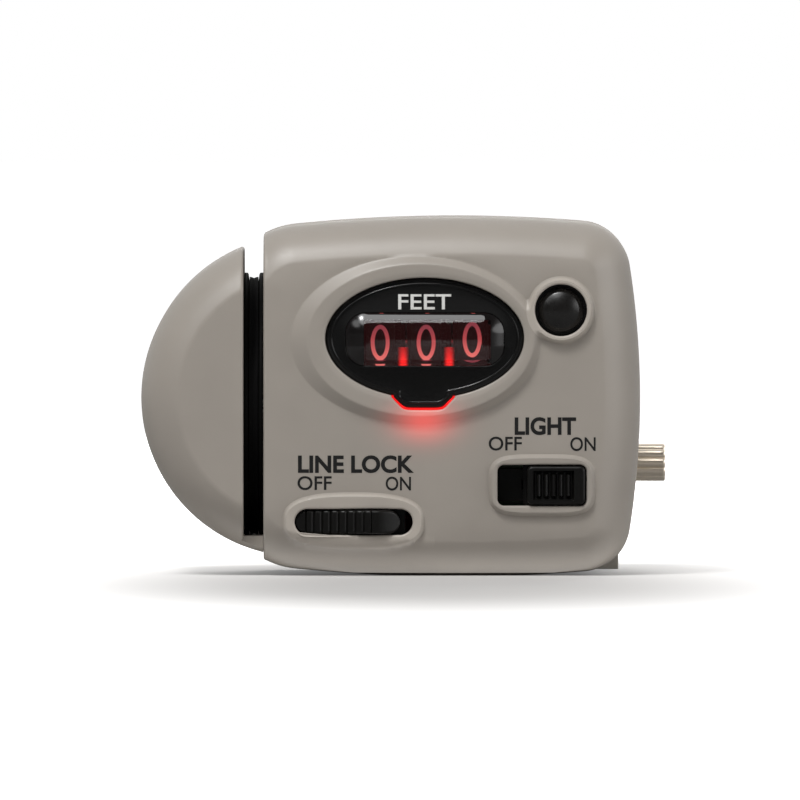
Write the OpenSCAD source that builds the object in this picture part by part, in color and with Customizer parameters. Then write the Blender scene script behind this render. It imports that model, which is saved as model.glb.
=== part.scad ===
// Fishing line counter: a housing with a slotted measuring wheel, a reduction train and a
// three-wheel number register behind a lens, with a lamp, a line lock and a rod clamp.
// Millimetres. X runs to the right of the front view, the front faces -Y, Z is up.

/* [Housing] */
// Height of the housing
body_h = 53.95; // [53.5:0.05:57]
// Depth of the housing, front face to back face
body_d = 43; // [42.6:0.2:47]
// Distance from the centre plane to the right side
body_right = 31.5; // [31:0.1:36]
// Radius of the two right-hand corners
corner_r = 7.5; // [6.8:0.1:8.6]
// Radius of the soft roll round the front edge
edge_r = 8.5; // [7.6:0.1:9]
// Radius of the roll round the back edge
rear_edge_r = 4; // [3.2:0.1:4.6]
// Wall thickness of the mouldings
wall = 2; // [1.7:0.05:2.1]

/* [Line guard] */
// Radius of the rounded end guard
guard_r = 24; // [23.6:0.1:25]
// Width of the line slot between the guard and the housing
slot_w = 3; // [2.9:0.05:3.4]

/* [Measuring wheel] */
// Radius at which the line runs on the tyre
line_r = 19.4; // [18.6:0.05:19.5]
// Height of the wheel flanges over the line
flange_h = 0.45; // [0.3:0.05:0.5]
// Radius of the wheel axle
axle_r = 1; // [0.9:0.05:1.2]

/* [Gear train] */
// Module of the two reduction stages
gear_m = 0.4; // [0.38:0.005:0.41]
// Face width of the gears
gear_w = 2; // [1.6:0.1:2.1]

/* [Register] */
// Radius of the number wheels
drum_r = 10; // [9.8:0.05:10.1]
// Width of a number wheel
drum_w = 4.6; // [4.4:0.05:4.65]
// Distance between the digits
digit_pitch = 6.9; // [6.85:0.05:7.1]

/* [Display] */
// Half width and half height of the raised oval bezel
bezel_rx = 18.75; // [18:0.05:19]
bezel_rz = 12.6; // [12:0.05:12.8]
// Half width and half height of the black oval panel
panel_rx = 14.85; // [14.4:0.05:15.2]
panel_rz = 9; // [8.7:0.05:9.2]
// Width and height of the lens
lens_w = 23.7; // [22.6:0.1:24]
lens_h = 7.9; // [7.4:0.05:8.2]

/* [Controls] */
// Radius and stroke of the reset button
button_r = 3.4; // [3:0.05:3.6]
button_stroke = 2; // [1.6:0.1:2.1]
// Opening of the line lock
lock_slot_w = 17.7; // [17.2:0.1:18]
lock_slot_h = 3.9; // [3.6:0.1:4.1]
// Travel of the line lock
lock_travel = 1.7; // [1.4:0.1:1.8]
// Opening of the lamp switch
lamp_slot_w = 13.35; // [13:0.05:13.6]
lamp_slot_h = 6.15; // [5.8:0.05:6.4]
// Travel of the lamp switch
lamp_travel = 4.25; // [3.6:0.05:4.6]

/* [Rod clamp] */
// Radius of the rod that the cradle is shaped for
rod_r = 5.5; // [4.8:0.1:5.8]
// Height of the clamp
clamp_h = 32; // [30:0.2:32.4]
// Radius of the clamp screw
screw_r = 2.5; // [2.2:0.05:2.7]
// Radius of the fluted screw head
head_r = 2.93; // [2.8:0.05:3.4]

/* [Fits] */
// Radial clearance of turning parts
run = 0.05; // [0.03:0.01:0.08]
// Gap round parts that slide in an opening
slide_gap = 0.2; // [0.15:0.05:0.3]

/* [Hidden] */
$fn = 64;
front_y = -body_d / 2;
back_y = body_d / 2;
in_front = front_y + wall;
in_back = back_y - wall;
part_y = back_y - 17.5;
mid_z = body_h / 2;
edge_tilt = 20;
rear_tilt = 10;
top_bow_r = 240;
side_bow_r = 128;
bow_x = 3.75;
shoulder_r = 12;
shoulder_x = -20.5;
foot_flat = 0.25;

// Slot, guard and wheel stations along X
slot_x = -25.1;
slot_left = slot_x - slot_w;
guard_x = -19.5;
wheel_side = 0.3;
wheel_w = slot_w - 2 * wheel_side;
wheel_x = slot_x - slot_w / 2;
flange_r = line_r + flange_h;
wheel_gap = 0.4;
axis_a = [0, mid_z - 1.55];
bridge_half = 17;
guard_plate_t = 1.5;
guard_fit = 0.2;
guard_seat = 1;
drain_gap = 1.6;

// Register and train axes as [Y, Z]; the layshaft lies where both stages mesh
digit_x = -0.675;
register_drop = 18.425;
lens_clear = 1.7;
axis_c = [in_front + drum_r + lens_clear, body_h - register_drop];
teeth_small = 10;
teeth_big = 50;
stage_c = gear_m * (teeth_small + teeth_big) / 2;
function nest(c1, r1, c2, r2, side) =
  let(d = norm(c2 - c1), k = (d * d + r1 * r1 - r2 * r2) / (2 * d))
  let(h = sqrt(max(0, r1 * r1 - k * k)), u = (c2 - c1) / d)
  c1 + k * u + side * h * [-u[1], u[0]];
axis_l = nest(axis_a, stage_c, axis_c, stage_c, -1);
transfer_m = 0.8;
transfer_pinion_t = 8;
transfer_ring_t = 20;
transfer_c = transfer_m * (transfer_pinion_t + transfer_ring_t) / 2;
transfer_dir = -80;
axis_t = axis_c + transfer_c * [cos(transfer_dir), sin(transfer_dir)];
ang_al = atan2(axis_l[1] - axis_a[1], axis_l[0] - axis_a[0]);
ang_lc = atan2(axis_c[1] - axis_l[1], axis_c[0] - axis_l[0]);
shaft_r = 1;
lay_r = 0.9;
transfer_shaft_r = 0.75;

// Plates and gear planes along X
gear_plate_x0 = slot_x + wall + 0.5;
gear_plate_t = 1.2;
gear_plate_x1 = gear_plate_x0 + gear_plate_t;
stage1_x = gear_plate_x1 + 0.5;
stage2_x = stage1_x + gear_w + 1.3;
frame_x0 = stage2_x + gear_w + 1.2;
frame_t = 1.5;
frame_x1 = frame_x0 + frame_t;
right_x0 = 11.2;
right_x1 = right_x0 + frame_t;
hundreds_x = digit_x - digit_pitch;
tens_x = digit_x;
ones_x = digit_x + digit_pitch;
ring_w = 0.8;
cam_w = 0.65;
cam_low_r = 1.9;
cam_high_r = 4.2;
disc_w = 0.55;
disc_r = 7;

// Counter frame, clear of the lamp board
board_y0 = in_front + 3.9;
board_t = 1.6;
frame_front = in_front + 1.8;
frame_rear = in_back - 4;
right_front = board_y0 + board_t + 0.6;
right_rear = in_back - 15.5;
web_y0 = in_front + 7.5;
web_z0 = 13;
web_z1 = 15;
flange_y0 = in_back - 9;
flange_y1 = in_back - 7.5;
flange_z0 = 8.6;
frame_top = body_h - 4.625;
standoff_r = 1.7;
standoff_dir = 131;
standoff_c = gear_m * teeth_big / 2 + standoff_r + 0.8;
standoffs = [[in_back - 6.5, mid_z - 2.9], [in_front + 6, mid_z - 5.9],
  axis_c + standoff_c * [cos(standoff_dir), sin(standoff_dir)]];
plate_edge = 2;
plate_screw_r = 0.8;
plate_screw_len = 5;
frame_screw_len = 6;
frame_head_r = 1.8;
frame_posts = [[-9, 11], [7, 11]];

// Display
display_x = -0.9;
display_z = axis_c[1] + 0.45;
bezel_x = -2.25;
bezel_z = axis_c[1] + 0.15;
bezel_raise = 1;
panel_y = front_y - 0.4;
panel_back = in_front + 0.7;
panel_fit = 0.08;
panel_lip = 1;
lens_bulge = 1.4;
lens_front = panel_y - lens_bulge;
lens_bow_r = (pow(lens_h / 2, 2) + pow(lens_bulge, 2)) / (2 * lens_bulge);
tab_top = display_z - 8.85;
tab_low = display_z - 10.45;
tab_x0 = -5.55;
tab_x1 = 3.3;
tab_slant = 1.65;
guide_rim = 0.35;
lens_lip = 0.4;
guide_back = panel_back + 1.7;
prong_w = 1.6;
led_r = 1.4;
led_flange_r = 1.8;

// Reset button
button_x = 19.55;
button_z = axis_c[1] + 4.65;
button_hole_r = button_r + 0.5;
ring_r = button_hole_r + 1.1;
button_flange_r = button_r + 0.9;
well_r = button_flange_r + 0.3;
well_wall = 1.2;
seat_y0 = in_front + 5.3;
seat_t = 1;
flange_t = 0.8;
button_flange_y = in_front + 0.1;
stem_r = 1.6;
wire_r = 0.25;
coil_r = 2.6;

// Reset comb
comb_half = 1.5;
comb_arm_half = 1.5;
comb_z0 = axis_c[1] + 12.3;
comb_t = 1.8;
finger_tip = axis_c[1] + cam_high_r + 2.3;
arm_y0 = axis_c[0] + 0.8;
arm_y1 = axis_c[0] + 3.3;
ramp_y = seat_y0 + seat_t + 0.7;
ramp_k = button_z - arm_y0 + 3.75;
ramp_gap = 0.14;
arm_low = button_z - 3.05;

// Line lock
lock_x = -11.55;
lock_z = 8.4;
lock_rim_w = 21;
lock_rim_h = 7.8;
rim_raise = 0.8;
lock_peak = 1.9;
knob_len = lock_slot_w - lock_travel - 2 * slide_gap;
knob_x0 = lock_x - lock_slot_w / 2 + slide_gap;
lock_plate_h = 5;
lock_plate_t = 1.2;
lock_plate_y = in_front + 0.1;
lock_plate_x0 = knob_x0 - 1.7;
lock_plate_x1 = knob_x0 + knob_len + 0.8;
pivot = [slot_x + 4.6, in_front + 8.5];
lever_front = 6;
lever_rear = 5;
lever_turn = lock_travel / lever_front * 180 / PI;
lever_t = 2;
pivot_foot = 4;
pivot_boss_r = 1.9;
pin_r = 0.8;
pin_play = 0.15;
fork_half = 1.6;
pin_y = pivot[1] - lever_front;
pivot_r = 0.9;
pad_r = 1.8;
pad_step = 0.4;
pad_touch = 0.06;
wheel_face = wheel_x + wheel_w / 2;
pad_edge = lever_rear + pad_r - pad_step;
pad_reach = (pivot[0] - wheel_face - pad_touch - pad_edge * sin(lever_turn / 2)) / cos(lever_turn / 2);
pad_y = pivot[1] + lever_rear;

// Lamp switch, board and lamp
lamp_x = 16.7;
lamp_z = mid_z - 13.075;
lamp_rim_w = 15.9;
lamp_rim_h = 9.15;
lamp_knob_w = lamp_slot_w - lamp_travel - 2 * slide_gap;
lamp_knob_x0 = lamp_x + lamp_slot_w / 2 - slide_gap - lamp_knob_w;
lamp_plate_t = 1;
lamp_plate_y = in_front + 0.1;
stub_r = 0.7;
board_x0 = -1.5;
board_x1 = 27.4;
board_z0 = lamp_z - 6.3;
board_z1 = tab_low - 1.4;
board_posts = [[board_x0 + 2.1, board_z1 - 2.6], [board_x1 - 1.5, board_z1 - 2.6]];
led_y = board_y0 + 0.4;
post_r = 1.8;
post_bore_r = 0.7;
post_bore = 3;
switch_gap = 0.2;

// Batteries
cell_r = 5.8;
cell_t = 5.4;
cells = 3;
cell_y = in_back - cell_r - 0.15;
cell_z = mid_z + 11.9;
cell_x0 = 5.9;
cell_x1 = cell_x0 + cells * cell_t;
contact_t = 0.4;
holder_t = 1;
door_gap = 0.15;
door_x0 = cell_x0 - 0.6;
door_x1 = cell_x1 + 0.6;
door_z0 = cell_z - cell_r - 0.1;
door_z1 = cell_z + cell_r + 0.1;

// Rod clamp
liner_t = 0.8;
groove_r = rod_r + liner_t;
cradle_set = 1.8;
web_t = 2.2;
rod_x = 8;
rod_y = back_y + web_t + sqrt(groove_r * groove_r - cradle_set * cradle_set);
clamp_x0 = rod_x - groove_r - 3.2;
cradle_face = rod_x - cradle_set;
arm_x0 = 22.5;
clamp_x1 = 28.5;
clamp_back = 2 * rod_y - back_y - web_t + 1.2;
clamp_z0 = foot_flat;
clamp_z1 = clamp_z0 + clamp_h;
screw_z = (clamp_z0 + clamp_z1) / 2;
head_gap = 2.2;
head_x0 = clamp_x1 + head_gap;
head_len = 5;
head_x1 = head_x0 + head_len;
pad_face = rod_x + rod_r + 0.1;
pad_t = 3;
clamp_pad_r = 4;
clamp_head_r = 2.1;
clamp_shank_r = 1;
clamp_screw_len = 6;
post_inset = 5.6;
tip_r = 1.5;
tip_depth = 1.8;
insert_r = screw_r + 1.3;
flutes = 10;
clamp_posts = [[15.5, clamp_z0 + post_inset], [15.5, clamp_z1 - post_inset]];

// Housing outline: bowed top, bottom and side, round right corners, softer left shoulders
top_c = [bow_x, body_h - top_bow_r];
side_c = [body_right - side_bow_r, mid_z];
corner_c = nest(top_c, top_bow_r - corner_r, side_c, side_bow_r - corner_r, -1);
corner_up = atan2(corner_c[1] - top_c[1], corner_c[0] - top_c[0]);
corner_side = atan2(corner_c[1] - side_c[1], corner_c[0] - side_c[0]);
shoulder_up = 90 + asin((bow_x - shoulder_x) / top_bow_r);
shoulder_c = top_c + (top_bow_r - shoulder_r) * [cos(shoulder_up), sin(shoulder_up)];

// Housing fixings as [X, Z]
boss_r = 2.1;
boss_set = 3.5;
pilot_r = 0.85;
screw_head_r = 1.6;
screw_sink = 4;
screw_bite = 8;
boss_from = part_y - screw_bite - 4;
boss_corner = corner_c + boss_set * [cos(45), sin(45)];
bosses = [[(stage1_x + gear_w + frame_x0) / 2, body_h - 4.575], boss_corner,
  [boss_corner[0], body_h - boss_corner[1]], [2, 3.9]];
tongue_y0 = part_y + 1.3;
tongue_y1 = tongue_y0 + 9.4;
tongue_x1 = slot_x + 5.5;
tongue_x = tongue_x1 - 1.9;
floor_in = 3.3;
guard_low = mid_z - sqrt(pow(guard_r, 2) - pow(slot_x - guard_x, 2));
tongue_z0 = max(floor_in + 1.7, guard_low + 1.365);
tongue_z1 = tongue_z0 + 3;
bridge_top = tongue_z0 + 1.2;
tongue_screws = [tongue_y0 + 2.7, tongue_y1 - 2.7];
tongue_seat = tongue_z0 - 1.6;
guard_screw_y = part_y + 3;
guard_screw_z = guard_r - 10;
guard_screw_len = 5;
tongue_screw_len = 3.8;

// Moves everything so that the origin is the middle of the floor under the object
x_min = guard_x - guard_r;
x_max = head_x1;
y_min = min(lens_front, front_y - lock_peak);
y_max = clamp_back;
module place() {
  translate([-(x_min + x_max) / 2, -(y_min + y_max) / 2, -foot_flat]) children();
}

// Shapes shared by several pieces
module along_x(x0, x1) {
  translate([x0, 0, 0]) rotate([90, 0, 90]) linear_extrude(x1 - x0) children();
}

module along_y(y0, y1) {
  translate([0, y1, 0]) rotate([90, 0, 0]) linear_extrude(y1 - y0) children();
}

module turn_x(x, axis) {
  translate([x, axis[0], axis[1]]) rotate([0, 90, 0]) rotate_extrude() children();
}

module turn_y(x, z) {
  translate([x, 0, z]) rotate([90, 0, 0]) rotate_extrude() children();
}

module rod_x(x0, x1, r, axis) {
  translate([x0, axis[0], axis[1]]) rotate([0, 90, 0]) cylinder(h = x1 - x0, r = r);
}

module rod_y(y0, y1, r, at) {
  translate([at[0], y0, at[1]]) rotate([-90, 0, 0]) cylinder(h = y1 - y0, r = r);
}

module box(x0, x1, y0, y1, z0, z1) {
  translate([x0, y0, z0]) cube([x1 - x0, y1 - y0, z1 - z0]);
}

module round_rect(w, h, r) {
  square([w - 2 * r, h], center = true);
  square([w, h - 2 * r], center = true);
  for (sx = [-1, 1], sz = [-1, 1]) translate([sx * (w / 2 - r), sz * (h / 2 - r)]) circle(r);
}

function arc(c, r, a0, a1, n, from = 1) =
  [for (i = [from : n]) let(a = a0 + (a1 - a0) * i / n) c + r * [cos(a), sin(a)]];
function oval(rx, rz, n, power) =
  [for (i = [0 : n - 1]) let(a = -360 * i / n, k = 2 / power)
    [rx * sign(cos(a)) * pow(abs(cos(a)), k), rz * sign(sin(a)) * pow(abs(sin(a)), k)]];

// Housing outline with an inset, and its lower half mirrored
function half_outline(s) = concat(
  arc(shoulder_c, shoulder_r - s, 150, shoulder_up, 6, 0),
  arc(top_c, top_bow_r - s, shoulder_up, corner_up, 6),
  arc(corner_c, corner_r - s, corner_up, corner_side, 10),
  arc(side_c, side_bow_r - s, corner_side, 0, 4));
function outline(s) = let(h = half_outline(s))
  concat(h, [for (i = [len(h) - 2 : -1 : 0]) [h[i][0], body_h - h[i][1]]]);

// Closed skin over a row of outlines [outline, y], front one first
module loft(rows) {
  n = len(rows[0][0]);
  m = len(rows);
  pts = [for (r = rows) for (p = r[0]) [p[0], r[1], p[1]]];
  sides = [for (i = [0 : m - 2]) for (k = [0 : n - 1]) let(j = (k + 1) % n)
    [i * n + k, (i + 1) * n + k, (i + 1) * n + j, i * n + j]];
  polyhedron(points = pts, faces = concat([[for (k = [0 : n - 1]) k]],
    [[for (k = [n - 1 : -1 : 0]) (m - 1) * n + k]], sides));
}

// Rolled edge as [inset, distance from the face], for the outside and for the cavity
roll_steps = 6;
function roll(r, tilt, skin) =
  let(a0 = acos(min(1, (r * cos(tilt) - skin) / (r - skin))))
  [for (i = [0 : roll_steps]) let(a = a0 + (90 - a0) * i / roll_steps)
    [skin + (r - skin) * (1 - sin(a)), r * cos(tilt) - (r - skin) * cos(a)]];

module front_mass(skin, to) {
  loft(concat([for (p = roll(edge_r, edge_tilt, skin)) [outline(p[0]), front_y + p[1]]],
    [[outline(skin), to]]));
}

module rear_mass(skin, from) {
  steps = roll(rear_edge_r, rear_tilt, skin);
  loft(concat([[outline(skin), from]],
    [for (i = [len(steps) - 1 : -1 : 0]) [outline(steps[i][0]), back_y - steps[i][1]]]));
}

module left_of(x) {
  box(x - 40, x, front_y - 9, back_y + 9, -9, body_h + 9);
}

module floor_cut() {
  box(slot_x - 5, body_right + 5, front_y - 5, back_y + 5, -5, foot_flat);
}

module tab_shape(grow) {
  polygon([
    [tab_x0 - grow, tab_top + 0.6], [tab_x0 - grow, tab_top],
    [tab_x0 + tab_slant - grow / 2, tab_low - grow], [tab_x1 - tab_slant + grow / 2, tab_low - grow],
    [tab_x1 + grow, tab_top], [tab_x1 + grow, tab_top + 0.6]
  ]);
}

module panel_shape(grow) {
  translate([display_x, display_z]) polygon(oval(panel_rx + grow, panel_rz + grow, 72, 2));
}

module lens_shape(shrink) {
  translate([display_x + 0.05, display_z - 0.2])
    round_rect(lens_w - 2 * shrink, lens_h - 2 * shrink, 3 - shrink);
}

module slot_shape(w, h, shrink) {
  round_rect(w - 2 * shrink, h - 2 * shrink, h / 2 - shrink - 0.02);
}

// Raised oval with a rounded shoulder, drawn about its own centre
module raised_oval(rx, rz, n, power, base_y, top_y, round) {
  loft(concat([for (a = [15 : 25 : 90]) let(s = round * (1 - sin(a)))
    [oval(rx - s, rz - s, n, power), top_y + round * (cos(15) - cos(a))]],
    [[oval(rx, rz, n, power), base_y]]));
}

// Front moulding with the bezel, the button ring, the switch rims and inside bosses
module front_housing() {
  color([0.58, 0.57, 0.54])
  difference() {
    union() {
      difference() {
        front_mass(0, part_y);
        difference() {
          front_mass(wall, part_y + 1);
          left_of(slot_x + wall);
        }
      }
      translate([bezel_x, 0, bezel_z])
        raised_oval(bezel_rx, bezel_rz, 72, 2, in_front, front_y - bezel_raise, 0.9);
      rod_y(front_y - bezel_raise * 0.9, in_front, ring_r, [button_x, button_z]);
      translate([lock_x, 0, lock_z])
        raised_oval(lock_rim_w / 2, lock_rim_h / 2, 48, 3.2, in_front, front_y - rim_raise, 0.7);
      translate([lamp_x, 0, lamp_z])
        raised_oval(lamp_rim_w / 2, lamp_rim_h / 2, 48, 4, in_front, front_y - rim_raise, 0.7);
      rod_y(in_front - 0.5, seat_y0 + seat_t, well_r + well_wall, [button_x, button_z]);
      for (b = bosses) rod_y(boss_from, part_y, boss_r, b);
      for (b = board_posts) rod_y(in_front - 0.5, board_y0, post_r, b);
      translate([pivot[0], pivot[1], pivot_foot - 0.8])
        cylinder(h = lock_z - lever_t / 2 - 0.1 - pivot_foot + 0.8, r = pivot_boss_r);
    }
    left_of(slot_x);
    floor_cut();
    along_y(front_y - 3, in_front + 1) panel_shape(panel_fit);
    along_y(front_y - 3, in_front + 1) tab_shape(guide_rim + panel_fit);
    rod_y(front_y - 3, in_front + 1, button_hole_r, [button_x, button_z]);
    rod_y(in_front, seat_y0 + seat_t + 1, well_r, [button_x, button_z]);
    translate([lock_x, 0, lock_z]) along_y(front_y - 3, in_front + 1) slot_shape(lock_slot_w, lock_slot_h, 0);
    box(lock_plate_x0 - 0.3, lock_plate_x1 + lock_travel + 0.3, in_front, in_front + 3,
      lock_z - lock_plate_h / 2 - 0.2, lock_z + lock_plate_h / 2 + 0.2);
    translate([lamp_x, 0, lamp_z]) along_y(front_y - 3, in_front + 1)
      round_rect(lamp_slot_w, lamp_slot_h, 1);
    rod_x(slot_x - 1, slot_x + wall + 1, axle_r + 0.6, axis_a);
    box(slot_x - 1, slot_x + wall + 1, pad_y - pad_r - 1.1, pad_y + pad_r + 1.0,
      lock_z - pad_r - 0.5, lock_z + pad_r + 0.5);
    for (b = bosses) rod_y(part_y - screw_bite - 1, part_y + 1, pilot_r, b);
    for (b = board_posts) rod_y(board_y0 - post_bore, board_y0 + 1, post_bore_r, b);
    translate([pivot[0], pivot[1], pivot_foot]) cylinder(h = lock_z, r = pivot_r);
  }
}

// Back moulding with screw bosses, frame posts and the battery opening
module rear_cover() {
  color([0.56, 0.55, 0.52])
  difference() {
    union() {
      difference() {
        rear_mass(0, part_y);
        difference() {
          rear_mass(wall, part_y - 1);
          left_of(slot_x + wall);
        }
      }
      for (b = bosses) rod_y(part_y, in_back + 0.5, boss_r, b);
      for (b = frame_posts) rod_y(flange_y1, in_back + 0.5, 2.2, b);
      for (b = clamp_posts) rod_y(in_back - 5, in_back + 0.5, 2.4, b);
      box(slot_x + 1, tongue_x1 + 0.6, tongue_y0 - 0.1, tongue_y1 + 0.1, floor_in, tongue_z0);
    }
    left_of(slot_x);
    floor_cut();
    box(slot_x - 1, slot_x + wall + 0.1, tongue_y0 - 0.1, tongue_y1 + 0.1, tongue_z0, tongue_z1 + 0.1);
    for (b = bosses) {
      rod_y(part_y - 1, back_y + 1, pilot_r, b);
      rod_y(back_y - screw_sink, back_y + 1, screw_head_r + 0.1, b);
    }
    for (b = frame_posts) rod_y(flange_y1 - 1, flange_y1 + 5, 0.8, b);
    for (b = clamp_posts) rod_y(in_back - 4.5, back_y + 1, 1, b);
    box(door_x0 - door_gap, door_x1 + door_gap, in_back - 1, back_y + 1,
      door_z0 - door_gap, door_z1 + door_gap);
    for (y = tongue_screws) {
      translate([tongue_x, y, -1]) cylinder(h = tongue_z0 + 2, r = pilot_r);
      translate([tongue_x, y, -1]) cylinder(h = tongue_seat + 1, r = screw_head_r + 0.1);
    }
  }
}

// Section of the guard: distance from its axis against distance towards the front
module guard_section(skin) {
  front_c = body_d / 2 - edge_r * cos(edge_tilt);
  rear_c = -body_d / 2 + rear_edge_r * cos(rear_tilt);
  intersection() {
    union() {
      translate([0, rear_c]) square([guard_r - skin, front_c - rear_c]);
      translate([0, -body_d / 2]) square([guard_r - rear_edge_r, body_d]);
      translate([0, 0]) square([guard_r - edge_r, body_d / 2]);
      translate([guard_r - edge_r, front_c]) circle(edge_r - skin);
      translate([guard_r - rear_edge_r, rear_c]) circle(rear_edge_r - skin);
    }
    translate([0, -body_d / 2 + skin]) square([guard_r, body_d - 2 * skin]);
  }
}

// Round guard outside the wheel, joined under the slot by a saddle with a tongue
module line_guard() {
  color([0.58, 0.57, 0.54])
  difference() {
    union() {
      difference() {
        turn_y(guard_x, mid_z) guard_section(0);
        difference() {
          turn_y(guard_x, mid_z) guard_section(wall);
          box(slot_left - guard_plate_t - 8.6, slot_left - guard_plate_t - 2,
            guard_screw_y - 1.5, guard_screw_y + 1.5, 3, body_h - 3);
        }
        box(slot_left, slot_left + 60, front_y - 2, back_y + 2, -2, body_h + 2);
      }
      intersection() {
        turn_y(guard_x, mid_z) guard_section(0);
        box(slot_left - 0.5, slot_x, -bridge_half, bridge_half, 0, bridge_top);
      }
      box(slot_x - 1, tongue_x1, tongue_y0, tongue_y1, tongue_z0, tongue_z1);
    }
    rod_x(slot_left - 0.6, slot_x - 0.05, flange_r + wheel_gap, axis_a);
    for (y = tongue_screws) translate([tongue_x, y, tongue_z0 - 1]) cylinder(h = 3.4, r = pilot_r);
    for (s = [-1, 1])
      rod_x(slot_left - guard_plate_t - 6, slot_left, pilot_r, [guard_screw_y, mid_z + s * guard_screw_z]);
  }
}

// Flat inner cover of the guard, which carries the outer axle bush
module guard_plate() {
  color([0.5, 0.49, 0.47])
  difference() {
    intersection() {
      turn_y(guard_x, mid_z) guard_section(wall + guard_fit);
      box(slot_left - guard_plate_t, slot_left, in_front + drain_gap, in_back - drain_gap,
        bridge_top + 1, body_h);
    }
    rod_x(slot_left - 3, slot_left + 1, axle_r + 1.2, axis_a);
    for (s = [-1, 1]) {
      at = [guard_screw_y, mid_z + s * guard_screw_z];
      rod_x(slot_left - 3, slot_left + 1, 1, at);
      rod_x(slot_left - guard_seat, slot_left + 1, screw_head_r + 0.1, at);
    }
  }
}

// Black oval panel with its window and bottom tab
module display_panel() {
  color([0.05, 0.05, 0.05])
  difference() {
    union() {
      along_y(panel_y, panel_back) panel_shape(0);
      along_y(in_front, panel_back) panel_shape(panel_lip);
      along_y(panel_y, in_front - 0.2) tab_shape(0);
    }
    along_y(panel_y - 1, panel_back + 1) lens_shape(0);
    rod_y(in_front - 0.1, panel_back + 1, well_r + well_wall + panel_fit, [button_x, button_z]);
    difference() {
      box(tab_x0 - 1.2, tab_x1 + 1.2, in_front - 0.2, panel_back + 1, tab_low - 2, tab_top + 0.7);
      along_y(in_front - 1, panel_back + 2) panel_shape(0);
    }
  }
}

// Clear lens with a bowed front, held by a lip behind the panel
module display_lens() {
  color([0.8, 0.8, 0.85, 0.4])
  union() {
    intersection() {
      along_y(lens_front - 1, panel_back + 0.1) lens_shape(0.05);
      translate([display_x - lens_w, lens_front + lens_bow_r, display_z - 0.2])
        rotate([0, 90, 0]) cylinder(h = 2 * lens_w, r = lens_bow_r);
    }
    along_y(lens_front + 3, panel_back) lens_shape(0.05);
    along_y(panel_back, panel_back + lens_lip) lens_shape(-0.5);
  }
}

// Red light guide: a rim round the tab and two prongs between the number wheels
module light_guide() {
  color([0.9, 0.1, 0.05])
  union() {
    difference() {
      along_y(front_y - 0.2, panel_back + 0.1) tab_shape(guide_rim);
      along_y(front_y - 1, in_front - 0.1) tab_shape(0.05);
      along_y(front_y - 1, in_front + 2) panel_shape(0.1);
    }
    box(tab_x0, tab_x1, panel_back + 0.05, guide_back, tab_low, tab_top + 2.6);
    for (x = [(hundreds_x + tens_x) / 2, (tens_x + ones_x) / 2])
      box(x - prong_w / 2, x + prong_w / 2, panel_back + lens_lip + 0.05, guide_back,
        tab_top, axis_c[1] - 0.9);
  }
}

module lamp_led() {
  color([1, 0.25, 0.15])
  translate([display_x, led_y, board_z1]) union() {
    cylinder(h = 0.8, r = led_flange_r);
    cylinder(h = 1.7, r = led_r);
    translate([0, 0, 1.7]) sphere(led_r);
  }
}

module lamp_board() {
  color([0.1, 0.35, 0.15])
  difference() {
    box(board_x0, board_x1, board_y0, board_y0 + board_t, board_z0, board_z1);
    for (b = board_posts) rod_y(board_y0 - 1, board_y0 + board_t + 1, 0.9, b);
  }
}

// Slide switch on the board, with a groove for the knob's stub
module switch_body() {
  color([0.75, 0.75, 0.72])
  difference() {
    box(lamp_knob_x0 - lamp_travel - 0.6, lamp_knob_x0 + lamp_knob_w + 0.6,
      lamp_plate_y + lamp_plate_t + switch_gap, board_y0, lamp_z - 2.4, lamp_z + 2.4);
    box(lamp_knob_x0 + lamp_knob_w / 2 - lamp_travel - stub_r - 0.2,
      lamp_knob_x0 + lamp_knob_w / 2 + stub_r + 0.2,
      lamp_plate_y, board_y0 - 0.6, lamp_z - stub_r - 0.1, lamp_z + stub_r + 0.1);
  }
}

// Ribbed lamp knob with its back plate and stub
module lamp_switch() {
  xc = lamp_knob_x0 + lamp_knob_w / 2;
  top = front_y - rim_raise - 0.5;
  color([0.06, 0.06, 0.06])
  translate([xc, 0, lamp_z]) union() {
    difference() {
      along_y(top, lamp_plate_y + 0.1) round_rect(lamp_knob_w, lamp_slot_h - 2 * slide_gap, 0.8);
      along_y(top - 1, top + 0.9) round_rect(lamp_knob_w - 2.2, lamp_slot_h - 2 * slide_gap - 1.7, 0.5);
    }
    for (i = [-2 : 2])
      box(i * 1.15 - 0.3, i * 1.15 + 0.3, top + 0.25, top + 1, 1.1 - lamp_slot_h / 2, lamp_slot_h / 2 - 1.1);
    box(-lamp_knob_w / 2 - 0.6, lamp_knob_w / 2 + 0.6, lamp_plate_y, lamp_plate_y + lamp_plate_t,
      -lamp_slot_h / 2 - 0.9, lamp_slot_h / 2 + 0.9);
    rod_y(lamp_plate_y, board_y0 - 1.2, stub_r, [0, 0]);
  }
}

module battery_holder() {
  color([0.12, 0.12, 0.12])
  difference() {
    box(cell_x0 - contact_t - holder_t, cell_x1 + contact_t + holder_t,
      cell_y - cell_r - holder_t, in_back, cell_z - cell_r - holder_t, cell_z + cell_r + holder_t);
    rod_x(cell_x0 - contact_t, cell_x1 + contact_t, cell_r + 0.1, [cell_y, cell_z]);
    box(cell_x0 - contact_t, cell_x1 + contact_t, cell_y, in_back + 1,
      cell_z - cell_r - 0.1, cell_z + cell_r + 0.1);
  }
}

module battery_cells() {
  color([0.75, 0.75, 0.78])
  for (i = [0 : cells - 1])
    rod_x(cell_x0 + i * cell_t + (i == 0 ? 0 : 0.1), cell_x0 + (i + 1) * cell_t, cell_r, [cell_y, cell_z]);
}

module battery_contacts() {
  color([0.8, 0.68, 0.35])
  union() {
    rod_x(cell_x0 - contact_t, cell_x0, 3.6, [cell_y, cell_z]);
    rod_x(cell_x1, cell_x1 + contact_t, 3.6, [cell_y, cell_z]);
  }
}

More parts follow.
